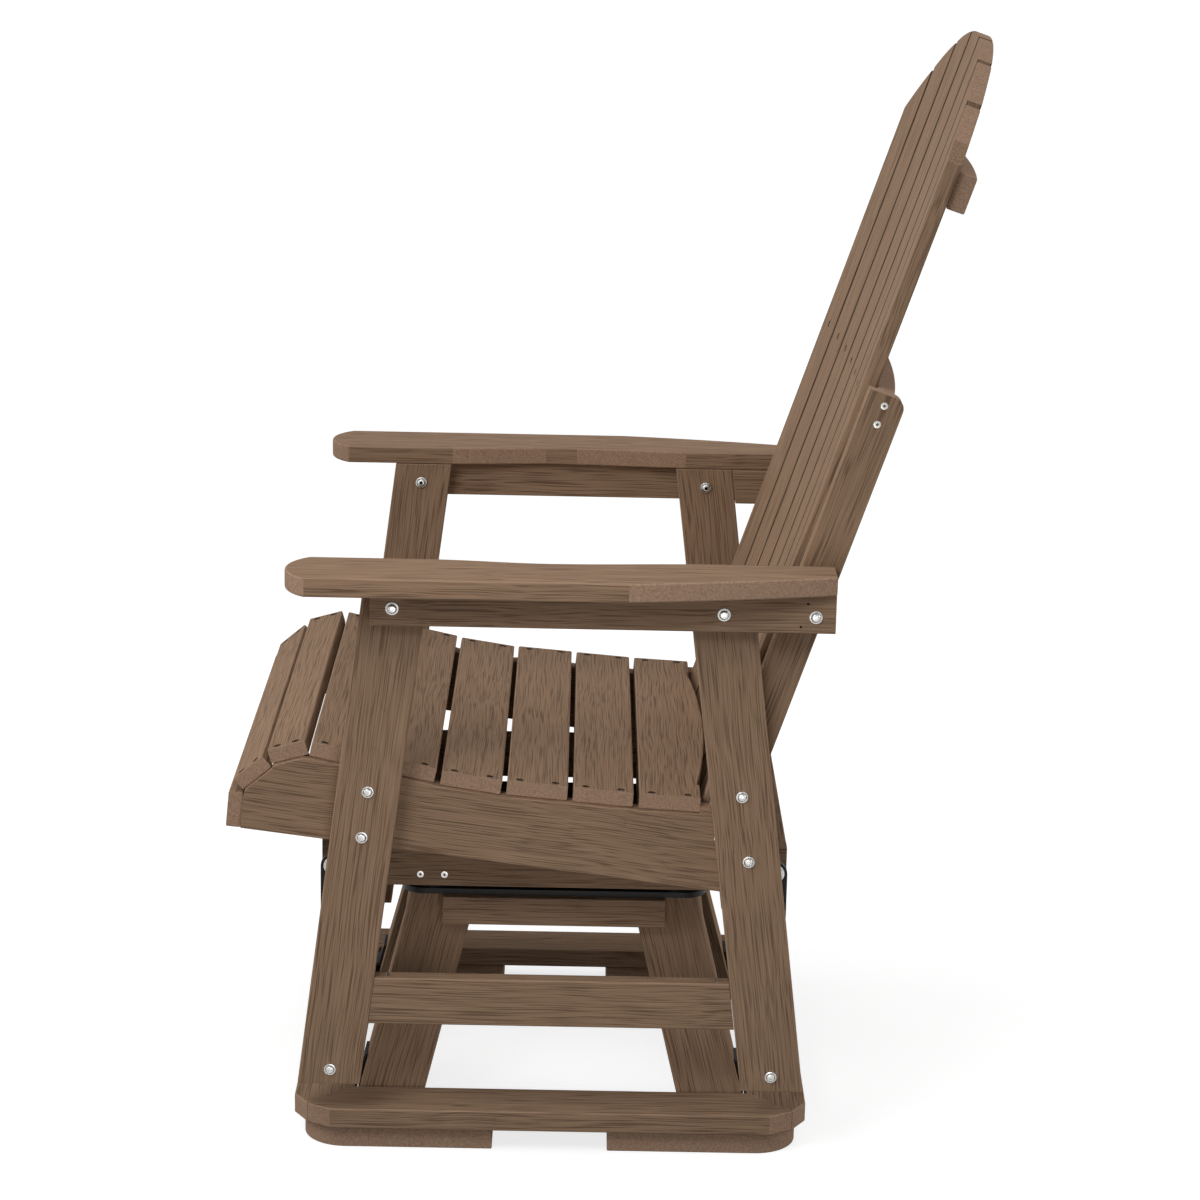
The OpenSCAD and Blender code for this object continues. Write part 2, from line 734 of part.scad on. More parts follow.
// Arms
arm_mid = (leg_in + 0.5 + arm_out) / 2;
arm_half = (arm_out - leg_in - 0.5) / 2;
nose_r = (arm_half * arm_half + arm_nose * arm_nose) / (2 * arm_nose);
arm_inner = leg_in + 0.5;
function ease(t) = t * t * (3 - 2 * t);
function inner_edge(y) = arm_inner + 10 * (y < -10 ? ease((y + 130) / 120) : 1 - ease((y + 10) / 170));
module arm_plan() {
  n = 8;
  polygon(concat(
    [[arm_out, -arm_nose_y], [arm_out, 70]],
    [for (k = [1 : n]) let (t = k / n)
      [arm_out - (arm_out - arm_out_rear) * (0.35 * t * t + 0.65 * t), 70 + (arm_rear - 70) * t]],
    [[arm_inner, arm_rear], [arm_inner, 160]],
    [for (k = [1 : n - 1]) let (y = 160 - k * 170 / n) [inner_edge(y), y]],
    [for (k = [0 : n]) let (y = -10 - k * 120 / n) [inner_edge(y), y]],
    [[arm_inner, -arm_nose_y]]));
  intersection() {
    translate([arm_mid, -arm_nose_y - arm_nose + nose_r]) circle(r = nose_r, $fn = 96);
    translate([arm_inner, -arm_nose_y - arm_nose - 1]) square([2 * arm_half, arm_nose + 2]);
  }
}
arm_screw_deep = 22;
arm_screw_y = [-150, 0, 150, 222];
module arm_screw_at() {
  for (y = arm_screw_y)
    translate([leg_out + gap + board / 2, y, arm_low - arm_screw_deep]) rotate([180, 0, 0]) children();
}
module armrest() {
  difference() {
    translate([0, 0, arm_low]) linear_extrude(board) arm_plan();
    arm_screw_at() screw_hole(38);
  }
}
module armrest_left() { color(wood) place() armrest(); }
module armrest_right() { color(wood) place() mirror([1, 0, 0]) armrest(); }
module arm_rail() {
  difference() {
    translate([leg_out + gap, -arm_rail_front, rail_low])
      cube([board, arm_rear + arm_rail_front, arm_rail_h - gap]);
    bolt_holes(leg_out, leg_out + board + 2, concat(bolts_arm, [bolt_post]));
    post_nail_at() nail_hole(56);
    arm_screw_at() {
      screw_hole(38);
      cylinder(h = 40, r = 2 * screw_r + hole_gap);
    }
  }
}
module arm_rail_left() { color(wood) place() arm_rail(); }
module arm_rail_right() { color(wood) place() mirror([1, 0, 0]) arm_rail(); }
post_nails = [[250, 615.5], [243.5, 591.5]];
module post_nail_at() {
  for (p = post_nails) translate([leg_out + gap + board, p[0], p[1]]) rotate([0, 90, 0]) children();
}
module arm_spacers() {
  e0 = leg_y(rail_low) + leg_w / 2 + gap;
  z1 = arm_low - gap;
  e1 = leg_y(z1) + leg_w / 2 + gap;
  color(wood) place() both_sides() difference() {
    plank(leg_in + gap, leg_out) polygon([[e0, rail_low], [arm_rear, rail_low], [arm_rear, z1], [e1, z1]]);
    bolt_holes(leg_in - 1, leg_out + 1, [bolt_post]);
    post_nail_at() nail_hole(56);
  }
}

// Back
module back_frame() {
  // x across, y = v rearwards square to the back, z = w up along the slats
  translate([0, back_y0, 0]) rotate([-back_tilt, 0, 0]) children();
}
module back_slat(i) {
  a = i * back_pitch / back_r;
  x0 = i * back_pitch - slat_w / 2;
  n = 6;
  color(wood) place() difference() {
    back_frame() translate([0, -back_r, 0]) rotate(-a * 180 / PI) translate([-i * back_pitch, back_r, 0])
      rotate([90, 0, 0]) translate([0, 0, -slat_t]) linear_extrude(slat_t) polygon(concat(
        [[x0, foot_w], [x0 + slat_w, foot_w]],
        [for (k = [n : -1 : 0]) let (x = x0 + k * slat_w / n) [x, crown(x)]]));
    back_screw_at(i) screw_hole(30);
    back_rear_screw_at(i) screw_hole(30);
  }
}
module on_arc(x, w) {
  // a point on the front of the back at x, turned square to the arc there
  back_frame() translate([0, -back_r, w]) rotate(-x / back_r * 180 / PI) translate([0, back_r, 0]) children();
}
module back_screw_at(i) {
  on_arc(i * back_pitch, rail_mid_w + back_rail_h / 2) rotate([90, 0, 0]) children();
}
module back_rear_screw_at(i) {
  for (w = [rail_top_w, rail_bot_w])
    on_arc(i * back_pitch, w + back_rail_h / 2)
      translate([0, slat_t + gap + back_rail_d, 0]) rotate([-90, 0, 0]) children();
}
module back_slat_1() back_slat(3);
module back_slat_2() back_slat(2);
module back_slat_3() back_slat(1);
module back_slat_4() back_slat(0);
module back_slat_5() back_slat(-1);
module back_slat_6() back_slat(-2);
module back_slat_7() back_slat(-3);
module back_rail(w, half) {
  r0 = norm([back_r + slat_t, slat_w / 2]) + gap;
  back_frame() translate([0, 0, w]) linear_extrude(back_rail_h) intersection() {
    translate([-half, -60]) square([2 * half, 140]);
    translate([0, -back_r]) difference() {
      circle(r = r0 + back_rail_d, $fn = 180);
      circle(r = r0, $fn = 180);
    }
  }
}
module all_back_screws() {
  for (i = [-3 : 3]) {
    back_screw_at(i) children();
    back_rear_screw_at(i) children();
  }
}
module back_rail_top() {
  color(wood) place() difference() {
    back_rail(rail_top_w, 232);
    all_back_screws() screw_hole(30);
  }
}
module back_rail_middle() {
  color(wood) place() difference() {
    back_rail(rail_mid_w, rail_in - gap);
    all_back_screws() screw_hole(30);
    both_sides() post_end_screw_at() screw_hole(44);
  }
}
module back_rail_bottom() {
  color(wood) place() difference() {
    back_rail(rail_bot_w, rail_in - gap);
    all_back_screws() screw_hole(30);
    both_sides() rail_end_screw_at() screw_hole(44);
  }
}
module post_end_screw_at() {
  for (w = [rail_mid_w + 6.5, rail_mid_w + 26.5])
    back_frame() translate([leg_in, 11.5, w]) rotate([0, 90, 0]) children();
}
module rail_end_screw_at() {
  for (w = [rail_bot_w + 8, rail_bot_w + 24])
    back_frame() translate([leg_in, 11.5, w]) rotate([0, 90, 0]) children();
}
module back_post() {
  top = rail_mid_w + back_rail_h;
  r = 12;
  difference() {
    intersection() {
      back_frame() plank(rail_in, leg_in) difference() {
        translate([post_v, 300]) square([post_w, top - 300]);
        difference() {
          translate([post_v + post_w - r, top - r]) square(r + 1);
          translate([post_v + post_w - r, top - r]) circle(r = r);
        }
      }
      translate([0, -big, post_seat_z]) cube(2 * big);
    }
    bolt_holes(rail_in - 1, leg_in + 1, concat([bolt_post], bolts_rear));
    post_nail_at() nail_hole(56);
    post_end_screw_at() screw_hole(44);
  }
}
module back_post_left() { color(wood) place() back_post(); }
module back_post_right() { color(wood) place() mirror([1, 0, 0]) back_post(); }

// Fasteners of the chair
module frame_bolts() {
  rail_face = leg_out + gap + board;
  color(steel) place() both_sides() {
    for (p = bolts_arm) {
      bolt(rail_face, leg_in - 0.4, p[0], p[1], bolt_r, head_r);
      translate([leg_in - 0.2, p[0], p[1]]) rotate([0, -90, 0]) dome(head_r, head_h);
    }
    bolt(rail_face, rail_in - 0.4, bolt_post[0], bolt_post[1], bolt_r, head_r);
    translate([rail_in - 0.2, bolt_post[0], bolt_post[1]]) rotate([0, -90, 0]) dome(head_r, head_h);
    for (p = concat(bolts_front, bolts_rear)) {
      bolt(leg_out, rail_in - 0.4, p[0], p[1], bolt_r, leg_head_r);
      translate([rail_in - 0.2, p[0], p[1]]) rotate([0, -90, 0]) dome(dome_nut_r, dome_nut_h);
    }
  }
}
module pivot_bolts() {
  color(steel) place() both_sides() for (s = [-1, 1]) {
    bolt(leg_out, hanger_in - 9, s * pivot_y, pivot_low_z, pivot_r, leg_head_r);
    nut(hanger_in - 7, s * pivot_y, pivot_low_z, 6.5, pivot_r);
  }
}
module pivot_spacers() {
  color(black) place() both_sides() for (s = [-1, 1]) difference() {
    pin_x(hanger_in + hanger_t + 0.5, leg_in - 0.1, s * pivot_y, pivot_low_z, tube_r);
    pin_x(hanger_in, leg_in + 1, s * pivot_y, pivot_low_z, pivot_r + hole_gap);
  }
}
module slat_screws() {
  color(steel) place() {
    both_sides() {
      seat_screw_at() screw(slat_screw_len);
      apron_screw_at() screw(slat_screw_len);
      toe_screw_at() screw(40);
      arm_screw_at() screw(38);
      post_nail_at() nail(54);
      post_end_screw_at() screw(44);
      rail_end_screw_at() screw(44);
    }
    all_back_screws() screw(30);
  }
}

foot_pads();
ring_front();
ring_rear();
ring_left();
ring_right();
pedestal_side_boards();
pedestal_end_boards();
pedestal_rails();
corner_brackets();
base_screws();
swivel_lower_plate();
swivel_balls();
swivel_upper_plate();
subframe_side_left();
subframe_side_right();
subframe_cross_boards();
subframe_fasteners();
front_hangers();
front_bearings();
rear_hangers();
rear_bearings();
leg_front_left();
leg_front_right();
leg_rear_left();
leg_rear_right();
lower_rail_left();
lower_rail_right();
seat_rail_left();
seat_rail_right();
front_apron();
seat_slat_1();
seat_slat_2();
seat_slat_3();
seat_slat_4();
seat_slat_5();
seat_slat_6();
seat_slat_7();
seat_slat_8();
arm_rail_left();
arm_rail_right();
armrest_left();
armrest_right();
arm_spacers();
back_post_left();
back_post_right();
back_slat_1();
back_slat_2();
back_slat_3();
back_slat_4();
back_slat_5();
back_slat_6();
back_slat_7();
back_rail_top();
back_rail_middle();
back_rail_bottom();
frame_bolts();
pivot_bolts();
pivot_spacers();
slat_screws();
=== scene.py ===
import itertools
import math

import bmesh
import bpy
from mathutils import Matrix, Vector


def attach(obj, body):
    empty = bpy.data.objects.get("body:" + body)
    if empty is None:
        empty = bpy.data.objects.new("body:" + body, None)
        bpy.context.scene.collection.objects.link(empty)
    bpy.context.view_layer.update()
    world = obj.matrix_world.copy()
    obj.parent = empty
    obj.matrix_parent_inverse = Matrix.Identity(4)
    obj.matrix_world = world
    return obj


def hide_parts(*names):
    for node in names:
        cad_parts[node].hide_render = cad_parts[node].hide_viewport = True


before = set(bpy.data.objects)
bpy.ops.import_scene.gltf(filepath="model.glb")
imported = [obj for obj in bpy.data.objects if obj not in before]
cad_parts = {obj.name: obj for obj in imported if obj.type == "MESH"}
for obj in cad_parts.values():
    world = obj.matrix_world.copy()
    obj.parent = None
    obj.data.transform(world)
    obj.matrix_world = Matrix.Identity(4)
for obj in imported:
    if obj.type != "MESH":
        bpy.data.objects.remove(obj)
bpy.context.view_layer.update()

# Sizes in millimetres. The swivel axis stands at x = 0, y = 0, the chair faces -Y, and its left is +X.
BOARD = 20.0              # thickness of the frame boards
SLAT = 15.5               # thickness of seat and back slats
GAP = 0.3                 # air between neighbouring boards

# Side frames
LEG_OUT = 286.0           # outer face of the legs
LEG_IN = LEG_OUT - BOARD
RAIL_IN = LEG_IN - BOARD  # inner face of the seat rails
LEG_W = 65.0              # a leg from front to back
LEG_FOOT = 81.4           # height of the legs' lower ends
LEG_FOOT_Y = 232.0        # from the middle to a leg's centre at its foot
LEG_LEAN = 0.126          # of the legs, run over rise
LOW_RAIL = (149.0, 200.0)     # lower and upper edge of the lower rails
LOW_RAIL_RECESS = 1.0     # how far they lie behind the legs' outer faces

# Arms
ARM_TOP = 645.0
ARM_LOW = ARM_TOP - BOARD
ARM_OUT = 354.0           # outer edge, up to where it draws in to the tail
ARM_TAIL = 312.0          # outer edge at the rear end
ARM_TAIL_FROM = 70.0
ARM_INNER = LEG_IN + 0.5
ARM_REAR = 278.7
ARM_NOSE_Y = -252.0       # front corners, where the rounded nose starts
ARM_NOSE = 21.0           # how far the nose stands out
BOW_FRONT, BOW_MID, BOW_REAR = -130.0, -10.0, 160.0     # the inner edge's bow: start, deepest place, end
BOW_DEEP = 10.0
LEG_TOP = ARM_LOW - GAP
ARM_RAIL_LOW = 584.5
ARM_RAIL_FRONT = -189.0
RAIL_FACE = LEG_OUT + GAP + BOARD     # outer face of the arm rails
POST_NAILS = ((250, 615.5), (243.5, 591.5))     # (y, z) of the nails through arm rail and filler block

# Seat: each slat's front edge (y, z) on its upper face, its slope in degrees and its width
SLAT_HALF = 258.7         # half the length of a seat slat
SEAT_SCREW_X = 251.0
SEAT = ((-331.8, 405.3, 40.3, 39), (-296.6, 437.2, 15.8, 40), (-250.4, 446.7, -11.9, 63),
        (-182.7, 433.2, -12, 62), (-116.8, 418.4, -8.7, 63), (-49.6, 408.9, -4.6, 63),
        (18.8, 403, -4.5, 62.5), (86.9, 397.4, -3, 63.5))
BOW_END = 22.0            # the last slat's bowed rear edge starts this far inside the back
BOW_NOTCH, BOW_OUT = 3, 10    # and runs from this far inside the slat's width to this far outside it
RAIL_TOE = ((-324.3, 354.6), (-321.4, 388.0))     # front end of the seat rails
RAIL_START = 3            # their flats under the first two slats start this far behind the slats' edges
RAIL_CORNER = 6           # their corner between the second and third slat is cut this far from each
RAIL_LOW_AT = (-240.7, 345.6)     # a point of their lower edge
RAIL_SLOPE = 0.123        # of their lower edge, fall over run
RAIL_REAR_TOP = 212.0
RAIL_REAR_FOOT = 222.0
POST_FLAT = 62.0          # length of the flat that carries a back post
POST_SEAT_Z = 385.5       # height of that flat
APRON_Y, APRON_Z, APRON_TILT = -340.0, 354.2, -5.2
APRON_H = 38.2
APRON_T = SLAT - 0.4

# Back: a barrel of slats, which leans and is sawn to one crown curve
BACK_Y = 38.2
BACK_LEAN = 0.3346
BACK_TILT = math.degrees(math.atan(BACK_LEAN))
BACK_COS = math.cos(math.radians(BACK_TILT))
BACK_R = 2030.0
BACK_W = 63.0             # width of a back slat
BACK_PITCH = 68.6
BACK_HEIGHT = 1159.0
BACK_TOP = BACK_HEIGHT / BACK_COS
BACK_FOOT = 345.0 / BACK_COS
BACK_HALF = 237.3
CROWN_DROP = 117.0        # fall of the crown curve from the middle to the back's sides
RAIL_H = 38.0             # height and depth of the curved rails
RAIL_D = 19.0
RAIL_W = {"top": 1060.0, "middle": 832.0, "bottom": BACK_FOOT + 4}     # up the back
TOP_RAIL_HALF = 232.0
POST_FRONT, POST_BACK = -7.8, 31.5
POST_START = 300.0        # where the posts start before the seat rails cut them
POST_R = 12.0

# Subframe and hangers
SUB_OUT = 200.5           # outer face of the side boards
SUB_IN = SUB_OUT - BOARD
SUB_HALF = 245.0
SUB_Z = 272.0
SUB_H = 50.0
DECK_Z = SUB_Z + GAP      # the two flat boards over the plate
DECK_Y = 128.7
DECK_W = 76.0
PLATE = 6.0               # thickness of the swivel plates
PLATE_LOW = SUB_Z - PLATE     # underside of the upper plate
PIVOT_Y, PIVOT_TOP, PIVOT_LOW = 230.4, 306.5, 98.0
HANGER_IN, HANGER_OUT = 236.0, 241.0

# Base
RING_HALF = 272.0
RING_IN = 210.0
RING_LOW = 25.0
RING_T = 22.0
RING_TOP = RING_LOW + RING_T
RING_CLIP = 40.0          # length of a corner's clip along each side
RING_NICK = 15.0          # and how far the mitre stands back under it
PAD_OUT = RING_HALF - 10
PAD_LEN = 201.0
PAD_W = 79.0
PAD_R = 45.0
PAD_T = RING_LOW - GAP
SPLAY = 0.257             # lean of the pedestal's panels, run over rise
PED_TOP = 249.5
PED_W = 70.0
PED_TILT = math.degrees(math.atan(SPLAY))
PED_COS = math.cos(math.radians(PED_TILT))
PED_FLAT = RING_IN - SPLAY * RING_T - GAP + SPLAY * RING_TOP     # where the panels' faces meet the floor
PED_LONG = (PED_TOP + BOARD) / PED_COS
PED_RAIL_HALF = 118.5
PED_RAIL_H = 28.0
PED_END_RAIL_H = 42.0
PLATE_TOP = PED_TOP + GAP + PLATE     # top of the lower plate

# The origin is at the bottom centre of the whole chair, in metres
REAR_Y = BACK_Y + BACK_HEIGHT * BACK_LEAN + SLAT * BACK_COS
ROW = Matrix.Scale(0.001, 4) @ Matrix.Translation((0, -(APRON_Y + REAR_Y) / 2, 0))


def shift(x=0.0, y=0.0, z=0.0):
    return Matrix.Translation((x, y, z))


def turn(degrees, axis):
    return Matrix.Rotation(math.radians(degrees), 4, axis)


LEFT, RIGHT = Matrix.Identity(4), Matrix.Scale(-1, 4, (1, 0, 0))
REAR, FRONT = Matrix.Identity(4), Matrix.Scale(-1, 4, (0, 1, 0))
SIDES = (("left", LEFT), ("right", RIGHT))
BACK = shift(y=BACK_Y) @ turn(-BACK_TILT, "X")
SIDE_PANEL = shift(x=PED_FLAT) @ turn(-PED_TILT, "Y")
END_PANEL = turn(90, "Z") @ SIDE_PANEL


# Materials


def linear(code):
    """An sRGB hex colour as Blender's linear colour."""
    parts = [int(code[i:i + 2], 16) / 255 for i in (1, 3, 5)]
    return [c / 12.92 if c <= 0.04045 else ((c + 0.055) / 1.055) ** 2.4 for c in parts] + [1.0]


def node(tree, kind, inputs=None, stops=(), **settings):
    """Adds a node with its settings and links: an input is a value or another node's output, and the
    stops of a colour ramp are (position, sRGB hex)."""
    made = tree.nodes.new(kind)
    for key, value in settings.items():
        setattr(made, key, value)
    for key, value in (inputs or {}).items():
        if isinstance(value, bpy.types.NodeSocket):
            tree.links.new(value, made.inputs[key])
        else:
            made.inputs[key].default_value = value
    for i, (position, code) in enumerate(stops):
        elements = made.color_ramp.elements
        stop = elements[i] if i < 2 else elements.new(position)
        stop.position, stop.color = position, linear(code)
    return made


def new_finish(name, **inputs):
    """A new material, its node tree and its Principled shader, set to the given sockets."""
    made = bpy.data.materials.new(name)
    made.use_nodes = True
    shader = made.node_tree.nodes["Principled BSDF"]
    for key, value in inputs.items():
        shader.inputs[key.replace("_", " ")].default_value = value
    return made, made.node_tree, shader


def make_moulded_lumber():
    """Foamed polyethylene lumber, extruded and embossed: matt brown boards with raised wood grain that
    runs along each board and long dark growth lines, with a painted highlight on eased edges and painted
    shade along some edges and in the screw holes. The real streaks are about 0.7 mm wide; they are drawn
    1.1 mm wide so that they show."""
    made, tree, shader = new_finish("moulded_lumber", IOR=1.5, Roughness=0.72, Specular_IOR_Level=0.04)
    along = node(tree, "ShaderNodeAttribute", attribute_name="grain").outputs["Vector"]
    drift = node(tree, "ShaderNodeTexNoise", {"Vector": along, "Scale": 9.0, "Detail": 1.0})
    drifted = node(tree, "ShaderNodeVectorMath", {0: drift.outputs["Color"], 1: (0, 0.006, 0.006), 2: along},
                   operation="MULTIPLY_ADD").outputs["Vector"]
    # streaks 70 mm long and 1.1 mm wide
    fine_place = node(tree, "ShaderNodeMapping", {"Vector": drifted, "Scale": (14, 900, 900)})
    fine = node(tree, "ShaderNodeTexNoise", {"Vector": fine_place.outputs["Vector"], "Scale": 1.0,
                                             "Detail": 0.0}).outputs["Fac"]
    streaked = node(tree, "ShaderNodeValToRGB", {"Fac": fine},
                    stops=((0.28, "#745c4a"), (0.45, "#957a63"), (0.75, "#a1856c"))).outputs["Color"]
    # darker bands 110 mm long and 2.4 mm wide
    broad_place = node(tree, "ShaderNodeMapping", {"Vector": drifted, "Scale": (9, 420, 420)})
    broad = node(tree, "ShaderNodeTexNoise", {"Vector": broad_place.outputs["Vector"], "Scale": 1.0,
                                              "Detail": 1.0, "Roughness": 0.5}).outputs["Fac"]
    dark_band = node(tree, "ShaderNodeMapRange", {"Value": broad, "From Min": 0.50, "From Max": 0.76,
                                                  "To Min": 0.0, "To Max": 0.16}).outputs["Result"]
    banded = node(tree, "ShaderNodeMix", {"Factor": dark_band, "A": streaked, "B": linear("#5a4635")},
                  data_type="RGBA").outputs["Result"]
    # growth lines: the contours of a slow noise 300 mm long and 24 mm wide, 1 mm wide where it is steep
    growth_place = node(tree, "ShaderNodeMapping", {"Vector": drifted, "Scale": (3.3, 42, 42)})
    growth = node(tree, "ShaderNodeTexNoise", {"Vector": growth_place.outputs["Vector"], "Scale": 1.0,
                                               "Detail": 0.0}).outputs["Fac"]
    contour = node(tree, "ShaderNodeMath", {0: growth, 1: 9.0}, operation="MULTIPLY").outputs["Value"]
    saw = node(tree, "ShaderNodeMath", {0: contour}, operation="FRACT").outputs["Value"]
    line = node(tree, "ShaderNodeMapRange", {"Value": saw, "From Min": 0.0, "From Max": 0.16,
                                             "To Min": 0.22, "To Max": 0.0}).outputs["Result"]
    broken = node(tree, "ShaderNodeMath", {0: line, 1: broad}, operation="MULTIPLY").outputs["Value"]
    lined = node(tree, "ShaderNodeMix", {"Factor": broken, "A": banded, "B": linear("#2f2419")},
                 data_type="RGBA").outputs["Result"]
    # eased edges: 1 gets a painted highlight, -1 painted shade (in slat gaps and sunk holes)
    edge = node(tree, "ShaderNodeAttribute", attribute_name="eased").outputs["Fac"]
    # painted highlight along the eased edges
    highlight_share = node(tree, "ShaderNodeMath", {0: edge, 1: 0.40}, operation="MULTIPLY",
                  use_clamp=True).outputs["Value"]
    highlit = node(tree, "ShaderNodeMix", {"Factor": highlight_share, "A": lined, "B": linear("#b0917a")},
                data_type="RGBA").outputs["Result"]
    # painted shade where the eased attribute is negative: slat gaps and sunk holes
    shade_share = node(tree, "ShaderNodeMath", {0: edge, 1: -0.85}, operation="MULTIPLY",
                 use_clamp=True).outputs["Value"]
    shaded = node(tree, "ShaderNodeMix", {"Factor": shade_share, "A": highlit, "B": linear("#2c2119")},
                  data_type="RGBA").outputs["Result"]
    tree.links.new(shaded, shader.inputs["Base Color"])
    matt = node(tree, "ShaderNodeMapRange", {"Value": fine, "To Min": 0.62, "To Max": 0.82})
    tree.links.new(matt.outputs["Result"], shader.inputs["Roughness"])
    emboss = node(tree, "ShaderNodeBump", {"Height": fine, "Strength": 0.6, "Distance": 0.0005})
    tree.links.new(emboss.outputs["Normal"], shader.inputs["Normal"])
    return made


def make_sawn_lumber():
    """The same lumber where a saw or router has cut it: a good shade lighter, matt, with the speckle of
    the foamed core in place of the grain. The core's cells are under 1 mm; they are drawn as pits 2 mm
    across and 3 mm apart so that they show."""
    made, tree, shader = new_finish("sawn_lumber", IOR=1.5, Roughness=0.8, Specular_IOR_Level=0.1)
    along = node(tree, "ShaderNodeAttribute", attribute_name="grain").outputs["Vector"]
    speckle = node(tree, "ShaderNodeTexNoise", {"Vector": along, "Scale": 520.0,
                                                "Detail": 2.0}).outputs["Fac"]
    body_tone = node(tree, "ShaderNodeValToRGB", {"Fac": speckle},
                     stops=((0.34, "#977b66"), (0.66, "#b1927b"))).outputs["Color"]
    cells = node(tree, "ShaderNodeTexVoronoi", {"Vector": along, "Scale": 300.0}).outputs["Distance"]
    pit = node(tree, "ShaderNodeMapRange", {"Value": cells, "From Min": 0.06, "From Max": 0.26,
                                            "To Min": 0.28, "To Max": 0.0}).outputs["Result"]
    pitted = node(tree, "ShaderNodeMix", {"Factor": pit, "A": body_tone, "B": linear("#6e5745")},
                  data_type="RGBA").outputs["Result"]
    tree.links.new(pitted, shader.inputs["Base Color"])
    rough = node(tree, "ShaderNodeBump", {"Height": speckle, "Strength": 0.35, "Distance": 0.0004})
    tree.links.new(rough.outputs["Normal"], shader.inputs["Normal"])
    return made


def make_stainless_steel():
    """Stainless steel, cold headed and tumbled: bright, with faint soft scuffs."""
    made, tree, shader = new_finish("stainless_steel", Metallic=1.0, Roughness=0.3)
    spot = node(tree, "ShaderNodeTexCoord").outputs["Object"]
    scuff = node(tree, "ShaderNodeTexNoise", {"Vector": spot, "Scale": 700.0, "Detail": 3.0}).outputs["Fac"]
    silver = node(tree, "ShaderNodeValToRGB", {"Fac": scuff}, stops=((0.35, "#a5a4a2"), (0.65, "#cfcecb")))
    tree.links.new(silver.outputs["Color"], shader.inputs["Base Color"])
    gloss = node(tree, "ShaderNodeMapRange", {"Value": scuff, "To Min": 0.16, "To Max": 0.40})
    tree.links.new(gloss.outputs["Result"], shader.inputs["Roughness"])
    return made


def make_powder_coat():
    """Mild steel with a black powder coat: even satin black with a light orange peel of about 1 mm."""
    made, tree, shader = new_finish("powder_coated_steel", IOR=1.5, Roughness=0.5, Specular_IOR_Level=0.25)
    spot = node(tree, "ShaderNodeTexCoord").outputs["Object"]
    peel = node(tree, "ShaderNodeTexNoise", {"Vector": spot, "Scale": 800.0, "Detail": 1.0}).outputs["Fac"]
    black = node(tree, "ShaderNodeValToRGB", {"Fac": peel}, stops=((0.3, "#12100f"), (0.7, "#1c1917")))
    tree.links.new(black.outputs["Color"], shader.inputs["Base Color"])
    skin = node(tree, "ShaderNodeBump", {"Height": peel, "Strength": 0.3, "Distance": 0.0002})
    tree.links.new(skin.outputs["Normal"], shader.inputs["Normal"])
    return made


moulded_lumber = make_moulded_lumber()
sawn_lumber = make_sawn_lumber()
stainless_steel = make_stainless_steel()
powder_coat = make_powder_coat()

# Making a board: a sawn outline with thickness, cut by planes, its edges eased, its grain kept
SQUARE_ON = 0.75        # cosine past which a face counts as square to a direction
LENGTHWISE = 0.7        # cosine past which an edge counts as running along the board
HARD_ANGLE = 0.6        # radians past which an edge gets eased
HOLE_TURN = 24          # sides of a sunk hole
HOLE_ROOM = 0.9         # flat square left around a hole
# Rings of a sunk hole, (radius, depth); the rim lies a hair deep, for bridging needs a direction
RIM = 0.02
SCREW_SEAT = ((4.1, RIM), (3.95, 0.5), (3.85, 2.0))
NAIL_HOLE = ((1.35, RIM), (1.3, 0.3), (1.3, 3.4))
NEXT_GRAIN = Vector((0.73, 0.19, 0.31))     # metres from one board's grain to the next one's
board_number = itertools.count(1)


def of_kind(geometry, kind):
    return [g for g in geometry if isinstance(g, kind)]


def cross_cut(face):
    """A face square to the grain was sawn."""
    return abs(face.normal.x) > SQUARE_ON


def round_edges(bm, edges, radius, eased=None, segments=3):
    if edges:
        made = bmesh.ops.bevel(bm, geom=edges, offset=radius, offset_type="OFFSET", segments=segments,
                               profile=0.5, affect="EDGES", clamp_overlap=True, material=-1)
        if eased:
            for face in made["faces"]:
                face[eased] = 1


def hard_edges(bm):
    return [e for e in bm.edges if e.is_manifold and e.calc_face_angle() > HARD_ANGLE]


def runs(edge, axis):
    """How nearly an edge runs along one of its board's axes, 1 being along it."""
    one, two = edge.verts
    return abs((two.co - one.co).normalized()[axis])


def face_at(bm, at, up):
    """The flat face that faces up, in whose plane and within whose outline the point lies."""
    for face in bm.faces:
        if face.normal.dot(up) > 0.99 and abs((face.verts[0].co - at).dot(up)) < 0.05:
            if bmesh.geometry.intersect_face_point(face, at):
                return face
    raise ValueError(f"no flat face under a screw at {tuple(at)}")


